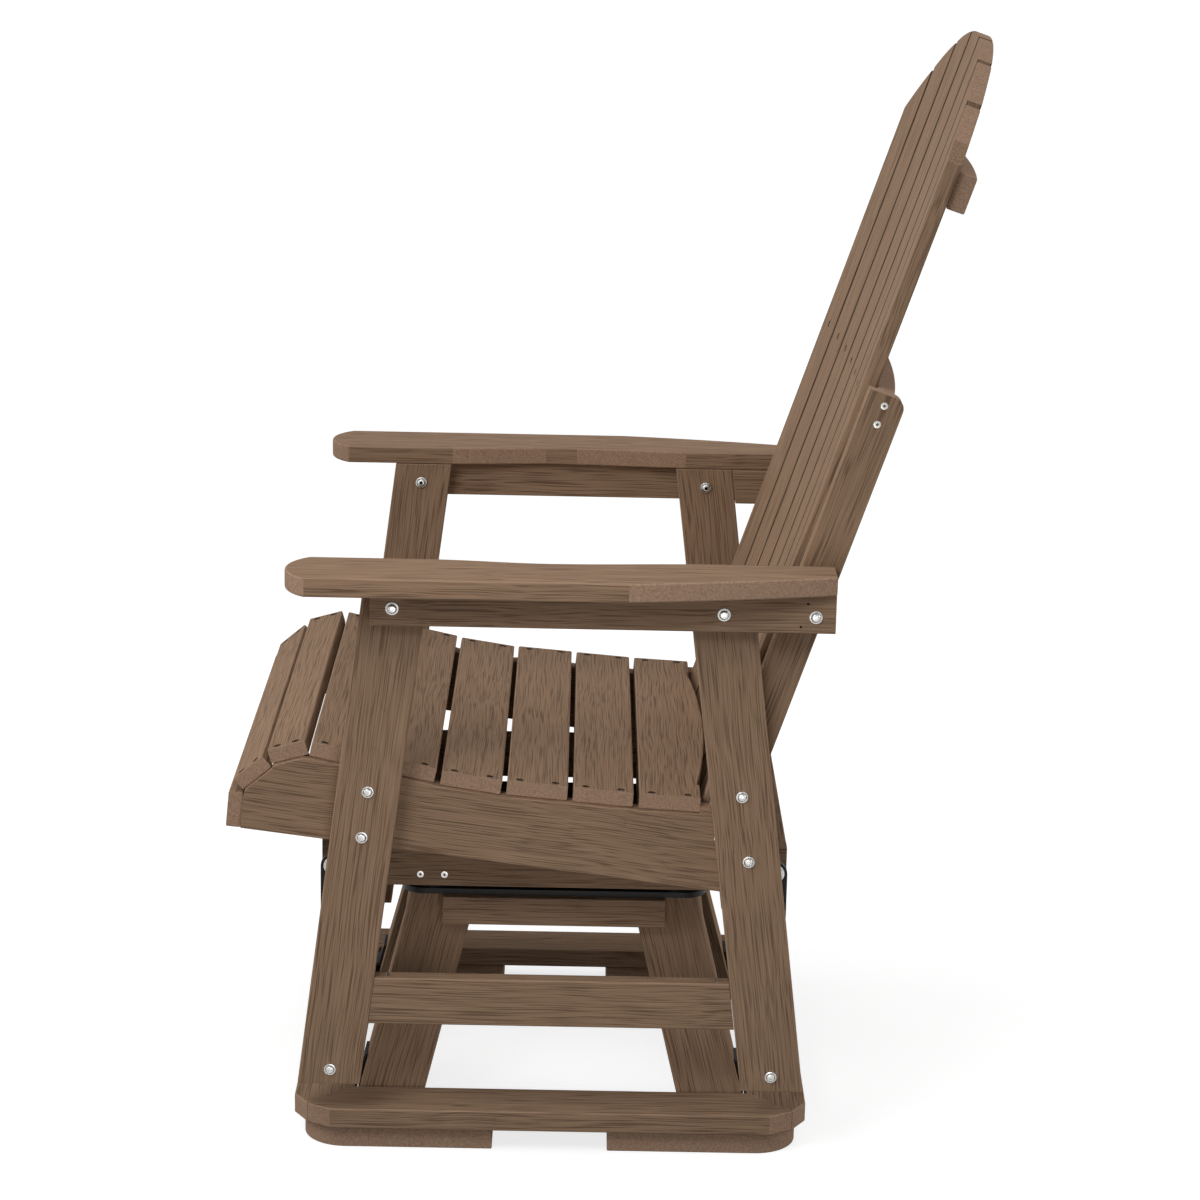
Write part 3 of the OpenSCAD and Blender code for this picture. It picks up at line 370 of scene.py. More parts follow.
def countersink(bm, at, up, rings):
    """Sinks a round hole into the flat face under a point; rings are (radius, depth) from its rim down."""
    reach = rings[0][0] + HOLE_ROOM
    drill = up.to_track_quat("Z", "Y").to_matrix()
    for axis in (drill.col[0], drill.col[1]):
        for sign in (-1, 1):
            under_screw = face_at(bm, at, up)
            around = [under_screw] + under_screw.edges[:] + under_screw.verts[:]
            bmesh.ops.bisect_plane(bm, geom=around, dist=1e-5, plane_co=at + sign * reach * axis,
                                   plane_no=axis)
    patch = face_at(bm, at, up)
    square = patch.edges[:]
    bmesh.ops.delete(bm, geom=[patch], context="FACES_ONLY")
    parted = bmesh.ops.subdivide_edges(bm, edges=square, cuts=HOLE_TURN // 4 - 1)
    loop = of_kind(parted["geom"], bmesh.types.BMEdge)
    wear = bm.verts.layers.float["eased"]
    for radius, depth in rings:
        sunk = Matrix.Translation(at - depth * up) @ drill.to_4x4()
        made = bmesh.ops.create_circle(bm, segments=HOLE_TURN, radius=radius, cap_ends=False,
                                       matrix=sunk)["verts"]
        ring = list({e for v in made for e in v.link_edges})
        bmesh.ops.bridge_loops(bm, edges=loop + ring)
        # the rings below the rim get painted shade, which darkens the hole's wall and the flat round it
        for vert in made:
            vert[wear] = -float(depth > RIM)
        loop = ring
    bmesh.ops.edgeloop_fill(bm, edges=loop)


def dress(bm, place, side=LEFT, along=1.6, ends=0.7, cuts=(), sinks=(), worked=cross_cut, flow=None,
          wear=lambda point: 1.0):
    """Cuts a blank by planes, eases its edges, sinks its holes, keeps its grain and sets it in place.
    along, ends: radius of the long edges and of the sawn ends' edges; without ends all get the first.
    cuts: (point, direction away from what stays). sinks: (point, direction out of the face, rings).
    worked: of a face, whether a saw has cut it. flow: of a point, where it lies in the grain.
    wear: of a point of an eased edge, 1 for a painted highlight and -1 for painted shade along it."""
    flat = place.inverted()
    for point, away in cuts:
        cut = bmesh.ops.bisect_plane(bm, geom=bm.verts[:] + bm.edges[:] + bm.faces[:], dist=1e-4,
                                     plane_co=flat @ Vector(point), plane_no=flat.to_3x3() @ Vector(away),
                                     clear_outer=True)
        bmesh.ops.holes_fill(bm, edges=of_kind(cut["geom_cut"], bmesh.types.BMEdge), sides=0)
    bmesh.ops.recalc_face_normals(bm, faces=bm.faces)
    eased = bm.faces.layers.int.new("eased_face")
    for face in bm.faces:
        face.material_index = int(worked(face))
    if ends is not None:
        round_edges(bm, [e for e in hard_edges(bm) if runs(e, 0) > LENGTHWISE], along, eased)
    round_edges(bm, hard_edges(bm), along if ends is None else ends, eased)
    # the inner rows of the eased edges carry painted light: a painted highlight at 1, painted shade where
    # negative
    light_paint = bm.verts.layers.float.new("eased")
    for vert in bm.verts:
        vert[light_paint] = wear(vert.co) * all(face[eased] for face in vert.link_faces)
    bm.faces.layers.int.remove(eased)
    if sinks:
        bm.normal_update()
        for point, out, rings in sinks:
            countersink(bm, flat @ Vector(point), (flat.to_3x3() @ Vector(out)).normalized(), rings)
        bmesh.ops.recalc_face_normals(bm, faces=bm.faces)
    start = NEXT_GRAIN * next(board_number)
    grain = bm.verts.layers.float_vector.new("grain")
    for vert in bm.verts:
        vert[grain] = (Vector(flow(vert.co)) if flow else vert.co) * 0.001 + start
    bm.transform(ROW @ side @ place)
    if side.determinant() < 0:
        bmesh.ops.reverse_faces(bm, faces=bm.faces)
    return bm


def lumber(corners, normal, thick, grain, side=LEFT, curves=None, corner=None, **how):
    """A board sawn to the outline of corners, thick along normal, with its grain along grain.
    curves: {corner number: (cuts, move)} bends the side that starts at that corner.
    corner: (corner number, radius) rounds one corner of the outline."""
    normal = Vector(normal).normalized()
    length = Vector(grain)
    length = (length - length.dot(normal) * normal).normalized()
    axes = Matrix((length, normal.cross(length), normal)).transposed()
    place = Matrix.Translation(corners[0]) @ axes.to_4x4()
    flat = place.inverted()
    bm = bmesh.new()
    verts = [bm.verts.new(flat @ Vector(c)) for c in corners]
    outline = [bm.edges.new((one, two)) for one, two in zip(verts, verts[1:] + verts[:1])]
    for i, (cuts, move) in (curves or {}).items():
        made = bmesh.ops.subdivide_edges(bm, edges=[outline[i]], cuts=cuts)
        for vert in of_kind(made["geom_inner"], bmesh.types.BMVert):
            vert.co = flat @ Vector(move(place @ vert.co))
    bmesh.ops.edgeloop_fill(bm, edges=bm.edges[:])
    lifted = bmesh.ops.extrude_face_region(bm, geom=bm.faces[:])
    bmesh.ops.translate(bm, vec=(0, 0, thick), verts=of_kind(lifted["geom"], bmesh.types.BMVert))
    if corner:
        i, radius = corner
        round_edges(bm, [e for e in verts[i].link_edges if runs(e, 2) > 0.9], radius, segments=12)
    return dress(bm, place, side, **how)


def side_cut(x0, x1, corners, grain, side=LEFT, **how):
    """A board whose outline, given as (y, z), stands in the side view from x0 to x1."""
    return lumber([(x0, y, z) for y, z in corners], (1, 0, 0), x1 - x0, (0, *grain), side, **how)


def box(low, high, grain, side=LEFT, **how):
    """A plain board between two opposite corners."""
    (x0, y0, z0), (x1, y1, z1) = low, high
    corners = [(x0, y0, z0), (x1, y0, z0), (x1, y1, z0), (x0, y1, z0)]
    return lumber(corners, (0, 0, 1), z1 - z0, grain, side, **how)


def piece(name, parts, body, slot, materials, *nodes):
    """Joins finished parts into one object that stands for its CAD nodes and rides with their body."""
    mesh = bpy.data.meshes.new(name)
    whole = bmesh.new()
    for part in parts:
        part.to_mesh(mesh)
        whole.from_mesh(mesh)
        part.free()
    for face in whole.faces:
        face.smooth = True
    whole.to_mesh(mesh)
    whole.free()
    for material in materials:
        mesh.materials.append(material)
    made = bpy.data.objects.new(name, mesh)
    bpy.context.collection.objects.link(made)
    weighted = made.modifiers.new("even_shading", "WEIGHTED_NORMAL")
    weighted.keep_sharp = True
    weighted.weight = 80
    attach(made, body)
    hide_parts(*nodes)
    return made


def plank(name, parts, body="chair"):
    return piece(name + "_lumber", parts, body, "plastic_lumber", (moulded_lumber, sawn_lumber), name)


def steel(name, parts, body):
    return piece(name + "_steel", parts, body, "stainless_steel", (stainless_steel,), name)


# Base: pads, ring and splayed pedestal


def router_cut(face):
    """Every edge of a pad was routed, its faces were not."""
    return abs(face.normal.z) < 0.5


def mitre_cut(face):
    """The mitres and clips of a ring board were sawn, its long edges are moulded."""
    return abs(face.normal.z) < 0.5 and abs(face.normal.x) > 0.3


def foot_pad(side):
    x0, y0 = PAD_OUT - PAD_W, PAD_OUT - PAD_LEN
    return lumber([(x0, y0, 0), (PAD_OUT, y0, 0), (PAD_OUT, PAD_OUT, 0), (x0, PAD_OUT, 0)], (0, 0, 1), PAD_T,
                  (0, 1, 0), side, corner=(2, PAD_R), along=1.2, ends=None, worked=router_cut)


def ring_board(heading):
    nick = RING_HALF - RING_NICK
    corners = [(RING_IN, -RING_IN + GAP), (nick, -nick + GAP), (RING_HALF, -RING_HALF + RING_CLIP),
               (RING_HALF, RING_HALF - RING_CLIP), (nick, nick - GAP), (RING_IN, RING_IN - GAP)]
    return lumber([(x, y, RING_LOW) for x, y in corners], (0, 0, 1), RING_T, (0, 1, 0), turn(heading, "Z"),
                  ends=0.8, worked=mitre_cut)


def edge_at(t):
    """Where the outer edge of a leaning board is, t up the panel."""
    return PED_FLAT - SPLAY * t * PED_COS


LEANING_BOARD = ((edge_at(0) - PED_W, 0), (edge_at(0), 0), (edge_at(PED_LONG), PED_LONG),
                 (edge_at(PED_LONG) - PED_W, PED_LONG))
LEAN = (0, edge_at(PED_LONG) - edge_at(0), PED_LONG)
FOOT_CUT = ((0, 0, RING_LOW), (0, 0, -1))
HEAD_CUT = ((0, 0, PED_TOP), (0, 0, 1))
FAR_PANEL = RIGHT @ SIDE_PANEL
PANEL_STOP = (FAR_PANEL @ Vector((-BOARD - GAP, 0, 0)), FAR_PANEL.to_3x3() @ Vector((1, 0, 0)))


def panel_board(panel, corners, x0, x1, grain, side, cuts):
    """A board laid in a leaning panel; corners run along and up the panel."""
    placed = [panel @ Vector((x0, y, z)) for y, z in corners]
    lean = panel.to_3x3()
    return lumber(placed, lean @ Vector((1, 0, 0)), x1 - x0, lean @ Vector(grain), side, cuts=cuts,
                  along=1.4)


def panel_rail(panel, foot_half, head_half, x0, height, side):
    """A level rail of a leaning panel, cut off level at its top and at its height below it."""
    corners = [(-foot_half, 0), (foot_half, 0), (head_half, PED_LONG), (-head_half, PED_LONG)]
    under_cut = ((0, 0, PED_TOP - height), (0, 0, -1))
    return panel_board(panel, corners, x0, x0 + BOARD, (0, 1, 0), side, (under_cut, HEAD_CUT))


plank("foot_pads", [foot_pad(x_side @ y_side) for x_side in (LEFT, RIGHT) for y_side in (REAR, FRONT)],
      "base")
for name, heading in (("left", 0), ("rear", 90), ("right", 180), ("front", -90)):
    plank("ring_" + name, [ring_board(heading)], "base")

side_boards, end_boards, rails = [], [], []
for x_side in (LEFT, RIGHT):
    for y_side in (REAR, FRONT):
        both = x_side @ y_side
        side_boards.append(panel_board(SIDE_PANEL, LEANING_BOARD, -BOARD, 0, LEAN, both,
                                       (FOOT_CUT, HEAD_CUT)))
        end_boards.append(panel_board(END_PANEL, LEANING_BOARD, -BOARD, 0, LEAN, both,
                                      (FOOT_CUT, HEAD_CUT, PANEL_STOP)))
    rails.append(panel_rail(SIDE_PANEL, PED_RAIL_HALF, PED_RAIL_HALF, GAP, PED_RAIL_H, x_side))
for y_side in (REAR, FRONT):
    rails.append(panel_rail(END_PANEL, edge_at(0) - PED_W - GAP, edge_at(PED_LONG) - PED_W - GAP, -BOARD,
                            PED_END_RAIL_H, y_side))
plank("pedestal_side_boards", side_boards, "base")
plank("pedestal_end_boards", end_boards, "base")
plank("pedestal_rails", rails, "base")

# Turning subframe
for name, side in SIDES:
    plank("subframe_side_" + name, [box((SUB_IN, -SUB_HALF, SUB_Z), (SUB_OUT, SUB_HALF, SUB_Z + SUB_H),
                                        (0, 1, 0), side)], "swivel_frame")
cross_half = SUB_IN - GAP
cross_boards = []
for y_side in (REAR, FRONT):
    cross_boards.append(box((-cross_half, SUB_HALF - BOARD, SUB_Z), (cross_half, SUB_HALF, SUB_Z + SUB_H),
                            (1, 0, 0), y_side))
    cross_boards.append(box((-cross_half, DECK_Y - DECK_W / 2, DECK_Z),
                            (cross_half, DECK_Y + DECK_W / 2, DECK_Z + BOARD), (1, 0, 0), y_side))
plank("subframe_cross_boards", cross_boards, "swivel_frame")

# Chair: side frames and arms


def leg_y(z):
    """From the middle to a leg's centre at a height."""
    return LEG_FOOT_Y - LEG_LEAN * (z - LEG_FOOT)


def on_slat(i, u, v):
    """The (y, z) of a point u along and v over a seat slat's upper face, seen from the side."""
    y, z, angle, _ = SEAT[i]
    a = math.radians(angle)
    return (y + u * math.cos(a) - v * math.sin(a), z + u * math.sin(a) + v * math.cos(a))


def seat_rail_outline():
    """The seat rail's side view: its toe, a flat under each slat, the post's flat and the lower edge."""
    under = -(SLAT + GAP)
    outline = [*RAIL_TOE, on_slat(0, RAIL_START, under), on_slat(0, SEAT[0][3] + GAP, under),
               on_slat(1, RAIL_START, under), on_slat(1, SEAT[1][3] - RAIL_CORNER, under)]
    for i in range(2, len(SEAT)):
        outline += [on_slat(i, RAIL_CORNER if i == 2 else 0, under), on_slat(i, SEAT[i][3], under)]
    rear_foot_z = RAIL_LOW_AT[1] - RAIL_SLOPE * (RAIL_REAR_FOOT - RAIL_LOW_AT[0])
    return outline + [(RAIL_REAR_TOP - POST_FLAT, POST_SEAT_Z - GAP), (RAIL_REAR_TOP, POST_SEAT_Z - GAP),
                      (RAIL_REAR_FOOT, rear_foot_z)]


def leg(end, side):
    """A raked leg; end is -1 at the front and 1 at the rear."""
    foot, head, half = end * leg_y(LEG_FOOT), end * leg_y(LEG_TOP), LEG_W / 2
    outline = [(foot - half, LEG_FOOT), (foot + half, LEG_FOOT),
               (head + half, LEG_TOP), (head - half, LEG_TOP)]
    return side_cut(LEG_IN, LEG_OUT, outline, (-end * LEG_LEAN, 1), side)


def lower_rail(side):
    low, high = [leg_y(z) - LEG_W / 2 - GAP for z in LOW_RAIL]
    outline = [(-low, LOW_RAIL[0]), (low, LOW_RAIL[0]), (high, LOW_RAIL[1]), (-high, LOW_RAIL[1])]
    return side_cut(LEG_IN, LEG_OUT - LOW_RAIL_RECESS, outline, (1, 0), side)


def arm_spacer(side):
    low, high = [leg_y(z) + LEG_W / 2 + GAP for z in (ARM_RAIL_LOW, LEG_TOP)]
    outline = [(low, ARM_RAIL_LOW), (ARM_REAR, ARM_RAIL_LOW), (ARM_REAR, LEG_TOP), (high, LEG_TOP)]
    return side_cut(LEG_IN + GAP, LEG_OUT, outline, (1, 0), side)


def bend_inner(p):
    """The arm's inner edge bows out over the legs."""
    if p.y < BOW_MID:
        t = (p.y - BOW_FRONT) / (BOW_MID - BOW_FRONT)
    else:
        t = 1 - (p.y - BOW_MID) / (BOW_REAR - BOW_MID)
    return (ARM_INNER + BOW_DEEP * t * t * (3 - 2 * t), p.y, p.z)


def bend_tail(p):
    """The arm's outer edge draws in to the tail."""
    t = (p.y - ARM_TAIL_FROM) / (ARM_REAR - ARM_TAIL_FROM)
    return (ARM_OUT - (ARM_OUT - ARM_TAIL) * (0.35 * t * t + 0.65 * t), p.y, p.z)


def bend_nose(p):
    """The arm's front edge is an arc between its two corners."""
    middle, half = (ARM_INNER + ARM_OUT) / 2, (ARM_OUT - ARM_INNER) / 2
    radius = (half ** 2 + ARM_NOSE ** 2) / (2 * ARM_NOSE)
    return (p.x, ARM_NOSE_Y - ARM_NOSE + radius - math.sqrt(radius ** 2 - (p.x - middle) ** 2), p.z)


def band_sawn(face):
    """The bowed edge, the tail and the nose of an arm were sawn, its straight edges are moulded."""
    return abs(face.normal.z) < 0.5 and abs(face.normal.x) > 0.03


def armrest(side):
    plan = [(ARM_OUT, ARM_NOSE_Y), (ARM_OUT, ARM_TAIL_FROM), (ARM_TAIL, ARM_REAR), (ARM_INNER, ARM_REAR),
            (ARM_INNER, BOW_REAR), (ARM_INNER, BOW_FRONT), (ARM_INNER, ARM_NOSE_Y)]
    return lumber([(x, y, ARM_LOW) for x, y in plan], (0, 0, 1), BOARD, (0, 1, 0), side,
                  curves={1: (7, bend_tail), 4: (15, bend_inner), 6: (15, bend_nose)}, along=2.2, ends=None,
                  worked=band_sawn)


def back_post(side):
    top = RAIL_W["middle"] + RAIL_H
    outline = ((POST_FRONT, POST_START), (POST_BACK, POST_START), (POST_BACK, top), (POST_FRONT, top))
    return lumber([BACK @ Vector((RAIL_IN, v, w)) for v, w in outline], (1, 0, 0), BOARD,
                  BACK.to_3x3() @ Vector((0, 0, 1)), side, corner=(2, POST_R),
                  cuts=(((0, 0, POST_SEAT_Z), (0, 0, -1)),))


def arm_rail(side):
    return box((LEG_OUT + GAP, ARM_RAIL_FRONT, ARM_RAIL_LOW), (RAIL_FACE, ARM_REAR, LEG_TOP), (0, 1, 0), side,
               sinks=[((RAIL_FACE, y, z), (1, 0, 0), NAIL_HOLE) for y, z in POST_NAILS])


for name, side in SIDES:
    plank("leg_front_" + name, [leg(-1, side)])
    plank("leg_rear_" + name, [leg(1, side)])
    plank("lower_rail_" + name, [lower_rail(side)])
    plank("seat_rail_" + name, [side_cut(RAIL_IN, LEG_IN, seat_rail_outline(), (1, -RAIL_SLOPE), side,
                                         along=0.9)])
    plank("arm_rail_" + name, [arm_rail(side)])
    plank("armrest_" + name, [armrest(side)])
    plank("back_post_" + name, [back_post(side)])
plank("arm_spacers", [arm_spacer(side) for _, side in SIDES])

# Chair: seat


def seat_screws(i):
    """How far a seat slat's screws are along its width."""
    inset = 10 if i < 2 else 13
    return (inset, SEAT[i][3] - inset)


def seat_slat(i):
    """A seat slat; the last one's rear edge is bowed to the barrel of the back."""
    y, z, angle, width = SEAT[i]
    top = shift(y=y, z=z) @ turn(angle, "X")
    upward = top.to_3x3() @ Vector((0, 0, 1))
    outline = [(-SLAT_HALF, 0), (SLAT_HALF, 0), (SLAT_HALF, width), (-SLAT_HALF, width)]
    curves = {}
    if i == len(SEAT) - 1:
        half, notch, crest = BACK_HALF - BOW_END, width - BOW_NOTCH, width + BOW_OUT
        rise = crest - notch
        radius = (half ** 2 + rise ** 2) / (2 * rise)
        outline[3:3] = [(half, width), (half, notch), (-half, notch), (-half, width)]

        def bend_bow(p):
            q = top.inverted() @ p
            return top @ Vector((q.x, crest - radius + math.sqrt(radius ** 2 - q.x ** 2), q.z))
        curves[4] = (23, bend_bow)
    return lumber([top @ Vector((u, v, -SLAT)) for u, v in outline], upward, SLAT, (1, 0, 0), curves=curves,
                  sinks=[(top @ Vector((x, v, 0)), upward, SCREW_SEAT)
                         for x in (-SEAT_SCREW_X, SEAT_SCREW_X) for v in seat_screws(i)])


for i in range(len(SEAT)):
    plank(f"seat_slat_{i + 1}", [seat_slat(i)])
apron = shift(y=APRON_Y, z=APRON_Z) @ turn(APRON_TILT, "X")
apron_foot = ((-SLAT_HALF, 0, 0), (SLAT_HALF, 0, 0), (SLAT_HALF, APRON_T, 0), (-SLAT_HALF, APRON_T, 0))
plank("front_apron", [lumber([apron @ Vector(c) for c in apron_foot], apron.to_3x3() @ Vector((0, 0, 1)),
                             APRON_H, (1, 0, 0))])

# Chair: back
GAP_SHADE = -0.9            # painted shade on a back slat's edges that lie in the shade of the next slat


def crown(x):
    return BACK_TOP - CROWN_DROP * (x / BACK_HALF) ** 2


def on_arc(x, w):
    """The front of the back at x across and w up, turned square to the barrel curve."""
    return BACK @ shift(y=-BACK_R, z=w) @ turn(-math.degrees(x / BACK_R), "Z") @ shift(y=BACK_R)


def back_slat(i):
    """A back slat; i counts from the middle one to the left."""
    middle = i * BACK_PITCH
    x0, x1 = middle - BACK_W / 2, middle + BACK_W / 2
    place = on_arc(middle, 0) @ shift(x=-middle)
    turned = place.to_3x3()

    def bend_crown(p):
        q = place.inverted() @ p
        return place @ Vector((q.x, q.y, crown(q.x)))

    # painted shade, in place of the painted highlight, on the edges that lie in a gap
    def edge_wear(p):
        return GAP_SHADE * (abs(i) < 3 or i * (p.y - BACK_W / 2) < 0)
    outline = ((x0, 0, BACK_FOOT), (x1, 0, BACK_FOOT), (x1, 0, crown(x1)), (x0, 0, crown(x0)))
    screw_at = place @ Vector((middle, 0, RAIL_W["middle"] + RAIL_H / 2))
    return lumber([place @ Vector(c) for c in outline], turned @ Vector((0, 1, 0)), SLAT,
                  turned @ Vector((0, 0, 1)), curves={2: (5, bend_crown)}, along=1.8, wear=edge_wear,
                  sinks=[(screw_at, turned @ Vector((0, -1, 0)), SCREW_SEAT)])


def back_rail(w, half):
    """A curved rail, spun about the barrel's axis and cut off at half its width on each side."""
    radius = math.hypot(BACK_R + SLAT, BACK_W / 2) + GAP
    reach = math.asin((half + 12) / radius)
    bm = bmesh.new()
    bmesh.ops.create_cube(bm, size=1)
    for face in [f for f in bm.faces if f.normal.x < 0.5]:
        bm.faces.remove(face)
    for edge in [e for e in bm.edges if not e.link_faces]:
        bm.edges.remove(edge)
    for vert in [v for v in bm.verts if not v.link_edges]:
        bm.verts.remove(vert)
    bm.transform(turn(math.degrees(reach), "Z") @ shift(y=radius + RAIL_D / 2, z=RAIL_H / 2)
                 @ Matrix.Diagonal((0, RAIL_D, RAIL_H, 1)))
    bmesh.ops.spin(bm, geom=bm.verts[:] + bm.edges[:] + bm.faces[:], cent=(0, 0, 0), axis=(0, 0, 1),
                   angle=-2 * reach, steps=28, use_merge=False)
    return dress(bm, BACK @ shift(y=-BACK_R, z=w),
                 cuts=(((half, 0, 0), (1, 0, 0)), ((-half, 0, 0), (-1, 0, 0))),
                 worked=lambda face: max(abs(face.normal.x), abs(face.normal.z)) > SQUARE_ON,
                 flow=lambda p: (radius * math.atan2(p.x, p.y), math.hypot(p.x, p.y) - radius, p.z))


for number, i in enumerate((3, 2, 1, 0, -1, -2, -3), 1):
    plank(f"back_slat_{number}", [back_slat(i)])
for name, half in (("top", TOP_RAIL_HALF), ("middle", RAIL_IN - GAP), ("bottom", RAIL_IN - GAP)):
    plank("back_rail_" + name, [back_rail(RAIL_W[name], half)])

# Fasteners: every one is a stack of rings about its own axis, the last ones a six- or four-sided socket.
# Their heads are a hair smaller than the solids' and lie a hair off the face that carries them.
RING_TURN = 24          # sides of a ring
CREASE = 0.7            # radians past which a fastener's edge stays sharp
OFF_FACE = 0.2
BOLT_R = 4.0
NUT_BORE = 4.1
HEAD_R, HEAD_H = 6.9, 3.9
LEG_HEAD_R = 6.4
DOME_NUT_R, DOME_NUT_H = 5.9, 2.9
BOLT_SHORT = 3.0        # a bolt through the boards ends this far from their inner face
SCREW_R, SCREW_HEAD_R = 2.0, 3.7
SUNK_SEAT, SUNK_BACK = -1.6, -1.0     # how deep the heads lie in the seat's and the back's slats
# A head's rings as shares of its radius and height; its socket's as a share of the radius and a depth
HEAD = ((1.0, 0.0), (1.0, 0.22), (0.95, 0.36), (0.80, 0.44), (0.75, 0.34), (0.71, 0.40), (0.64, 0.76),
        (0.50, 0.96), (0.36, 1.0))
HEX_SOCKET = ((0.32, 0.0), (0.30, 0.2), (0.28, 0.9))


def ring_of(bm, radius, z, flats=RING_TURN):
    made = bmesh.ops.create_circle(bm, segments=flats, radius=radius, cap_ends=False)["verts"]
    edges = list({e for v in made for e in v.link_edges})
    if flats < RING_TURN:
        parted = bmesh.ops.subdivide_edges(bm, edges=edges, cuts=RING_TURN // flats - 1)
        edges = list(set(of_kind(parted["geom"], bmesh.types.BMEdge)))
    verts = list({v for e in edges for v in e.verts})
    bmesh.ops.translate(bm, vec=(0, 0, z), verts=verts)
    return edges


def lathe(rings, place, side=LEFT):
    """A fastener on +Z from its rings, each (radius, height) or (radius, height, flats)."""
    bm = bmesh.new()
    loops = [ring_of(bm, *ring) for ring in rings]
    for one, two in zip(loops, loops[1:]):
        bmesh.ops.bridge_loops(bm, edges=one + two)
    for loop in (loops[0], loops[-1]):
        bmesh.ops.edgeloop_fill(bm, edges=loop)
    bmesh.ops.recalc_face_normals(bm, faces=bm.faces)
    for edge in bm.edges:
        edge.smooth = not (edge.is_manifold and edge.calc_face_angle() > CREASE)
    bm.transform(ROW @ side @ place)
    if side.determinant() < 0:
        bmesh.ops.reverse_faces(bm, faces=bm.faces)
    return bm


def head_rings(radius, height):
    """A button head with a flange, a turned groove, a low dome and a shallow hex socket."""
    dome = [(radius * across, height * up) for across, up in HEAD]
    return dome + [(radius * across, height - deep, 6) for across, deep in HEX_SOCKET]


def headed(end, height, place, side, radius=HEAD_R):
    """A bolt whose head lies over its origin and whose shank ends at end, below it."""
    return lathe([(BOLT_R, end), (BOLT_R, 0.0)] + head_rings(radius, height), place, side)


def side_bolt(x_head, x_end, y, z, side, radius=HEAD_R):
    """A bolt driven in from the side."""
    place = shift(x_head + OFF_FACE, y, z) @ turn(90, "Y")
    return headed(x_end - x_head - OFF_FACE, HEAD_H, place, side, radius)


def cap_nut(x, y, z, side, radius=HEAD_R, height=HEAD_H):
    """The barrel nut's head on an inner face."""
    return lathe(head_rings(radius, height), shift(x - OFF_FACE, y, z) @ turn(-90, "Y"), side)


def hex_nut(place, side, radius=7.6, height=6.4):
    chamfer = radius * 0.92
    return lathe([(NUT_BORE, height), (NUT_BORE, 0.0), (chamfer, 0.0), (radius, 0.5, 6),
                  (radius, height - 0.5, 6), (chamfer, height), (NUT_BORE + 0.1, height)], place, side)


def screw(length, place, side, proud=0.25):
    """Countersunk wood screw with a square socket, its head proud of the board or sunk into it."""
    shank = [(1.2, -length), (SCREW_R, 6 - length), (SCREW_R, min(proud, 0) - 2.6)]
    head = [(SCREW_HEAD_R - 0.1, proud - 0.5), (SCREW_HEAD_R, proud - 0.15), (SCREW_HEAD_R - 0.3, proud)]
    square_socket = [(1.9, proud, 4), (1.7, proud - 1.4, 4)]
    return lathe(shank + head + square_socket, place, side)


def nail(length, place, side):
    """A finish nail, set below the floor of its hole."""
    return lathe([(0.4, -length), (1.2, -length + 3), (1.2, -3.7), (1.0, -3.6)], place, side)


def tube(length, place, side):
    """A spacer tube with chamfered ends; its last ring closes the end round the bolt."""
    bore, outer, chamfer = 4.15, 8.0, 0.4
    return lathe([(bore, length), (bore, 0.0), (outer - chamfer, 0.0), (outer, chamfer),
                  (outer, length - chamfer), (outer - chamfer, length), (bore + 0.05, length)], place, side)


ARM_BOLT_Z = 603
POST_BOLT = (258.4, 602)
FRONT_LEG_BOLTS, REAR_LEG_BOLTS = (403, 354), (405, 335)
ARM_SCREWS = (-150, 0, 150, 222)
POST_SCREWS = (RAIL_W["middle"] + 6.5, RAIL_W["middle"] + 26.5, RAIL_W["bottom"] + 8, RAIL_W["bottom"] + 24)
POST_SCREW_V = 11.5     # their depth behind the front of the back
TOE_SCREW = 15.0        # from the leg to the slanting screws of the lower rails
PIVOT_BOLT_END = HANGER_IN - 9
PIVOT_NUT_AT = HANGER_IN - 7
LONG = {"seat": 32, "toe": 40, "arm": 30, "post_nail": 54, "post": 44, "back": 30, "subframe": 38,
        "plate": 46, "panel_rail": 34, "pad": 36, "bracket": 14}

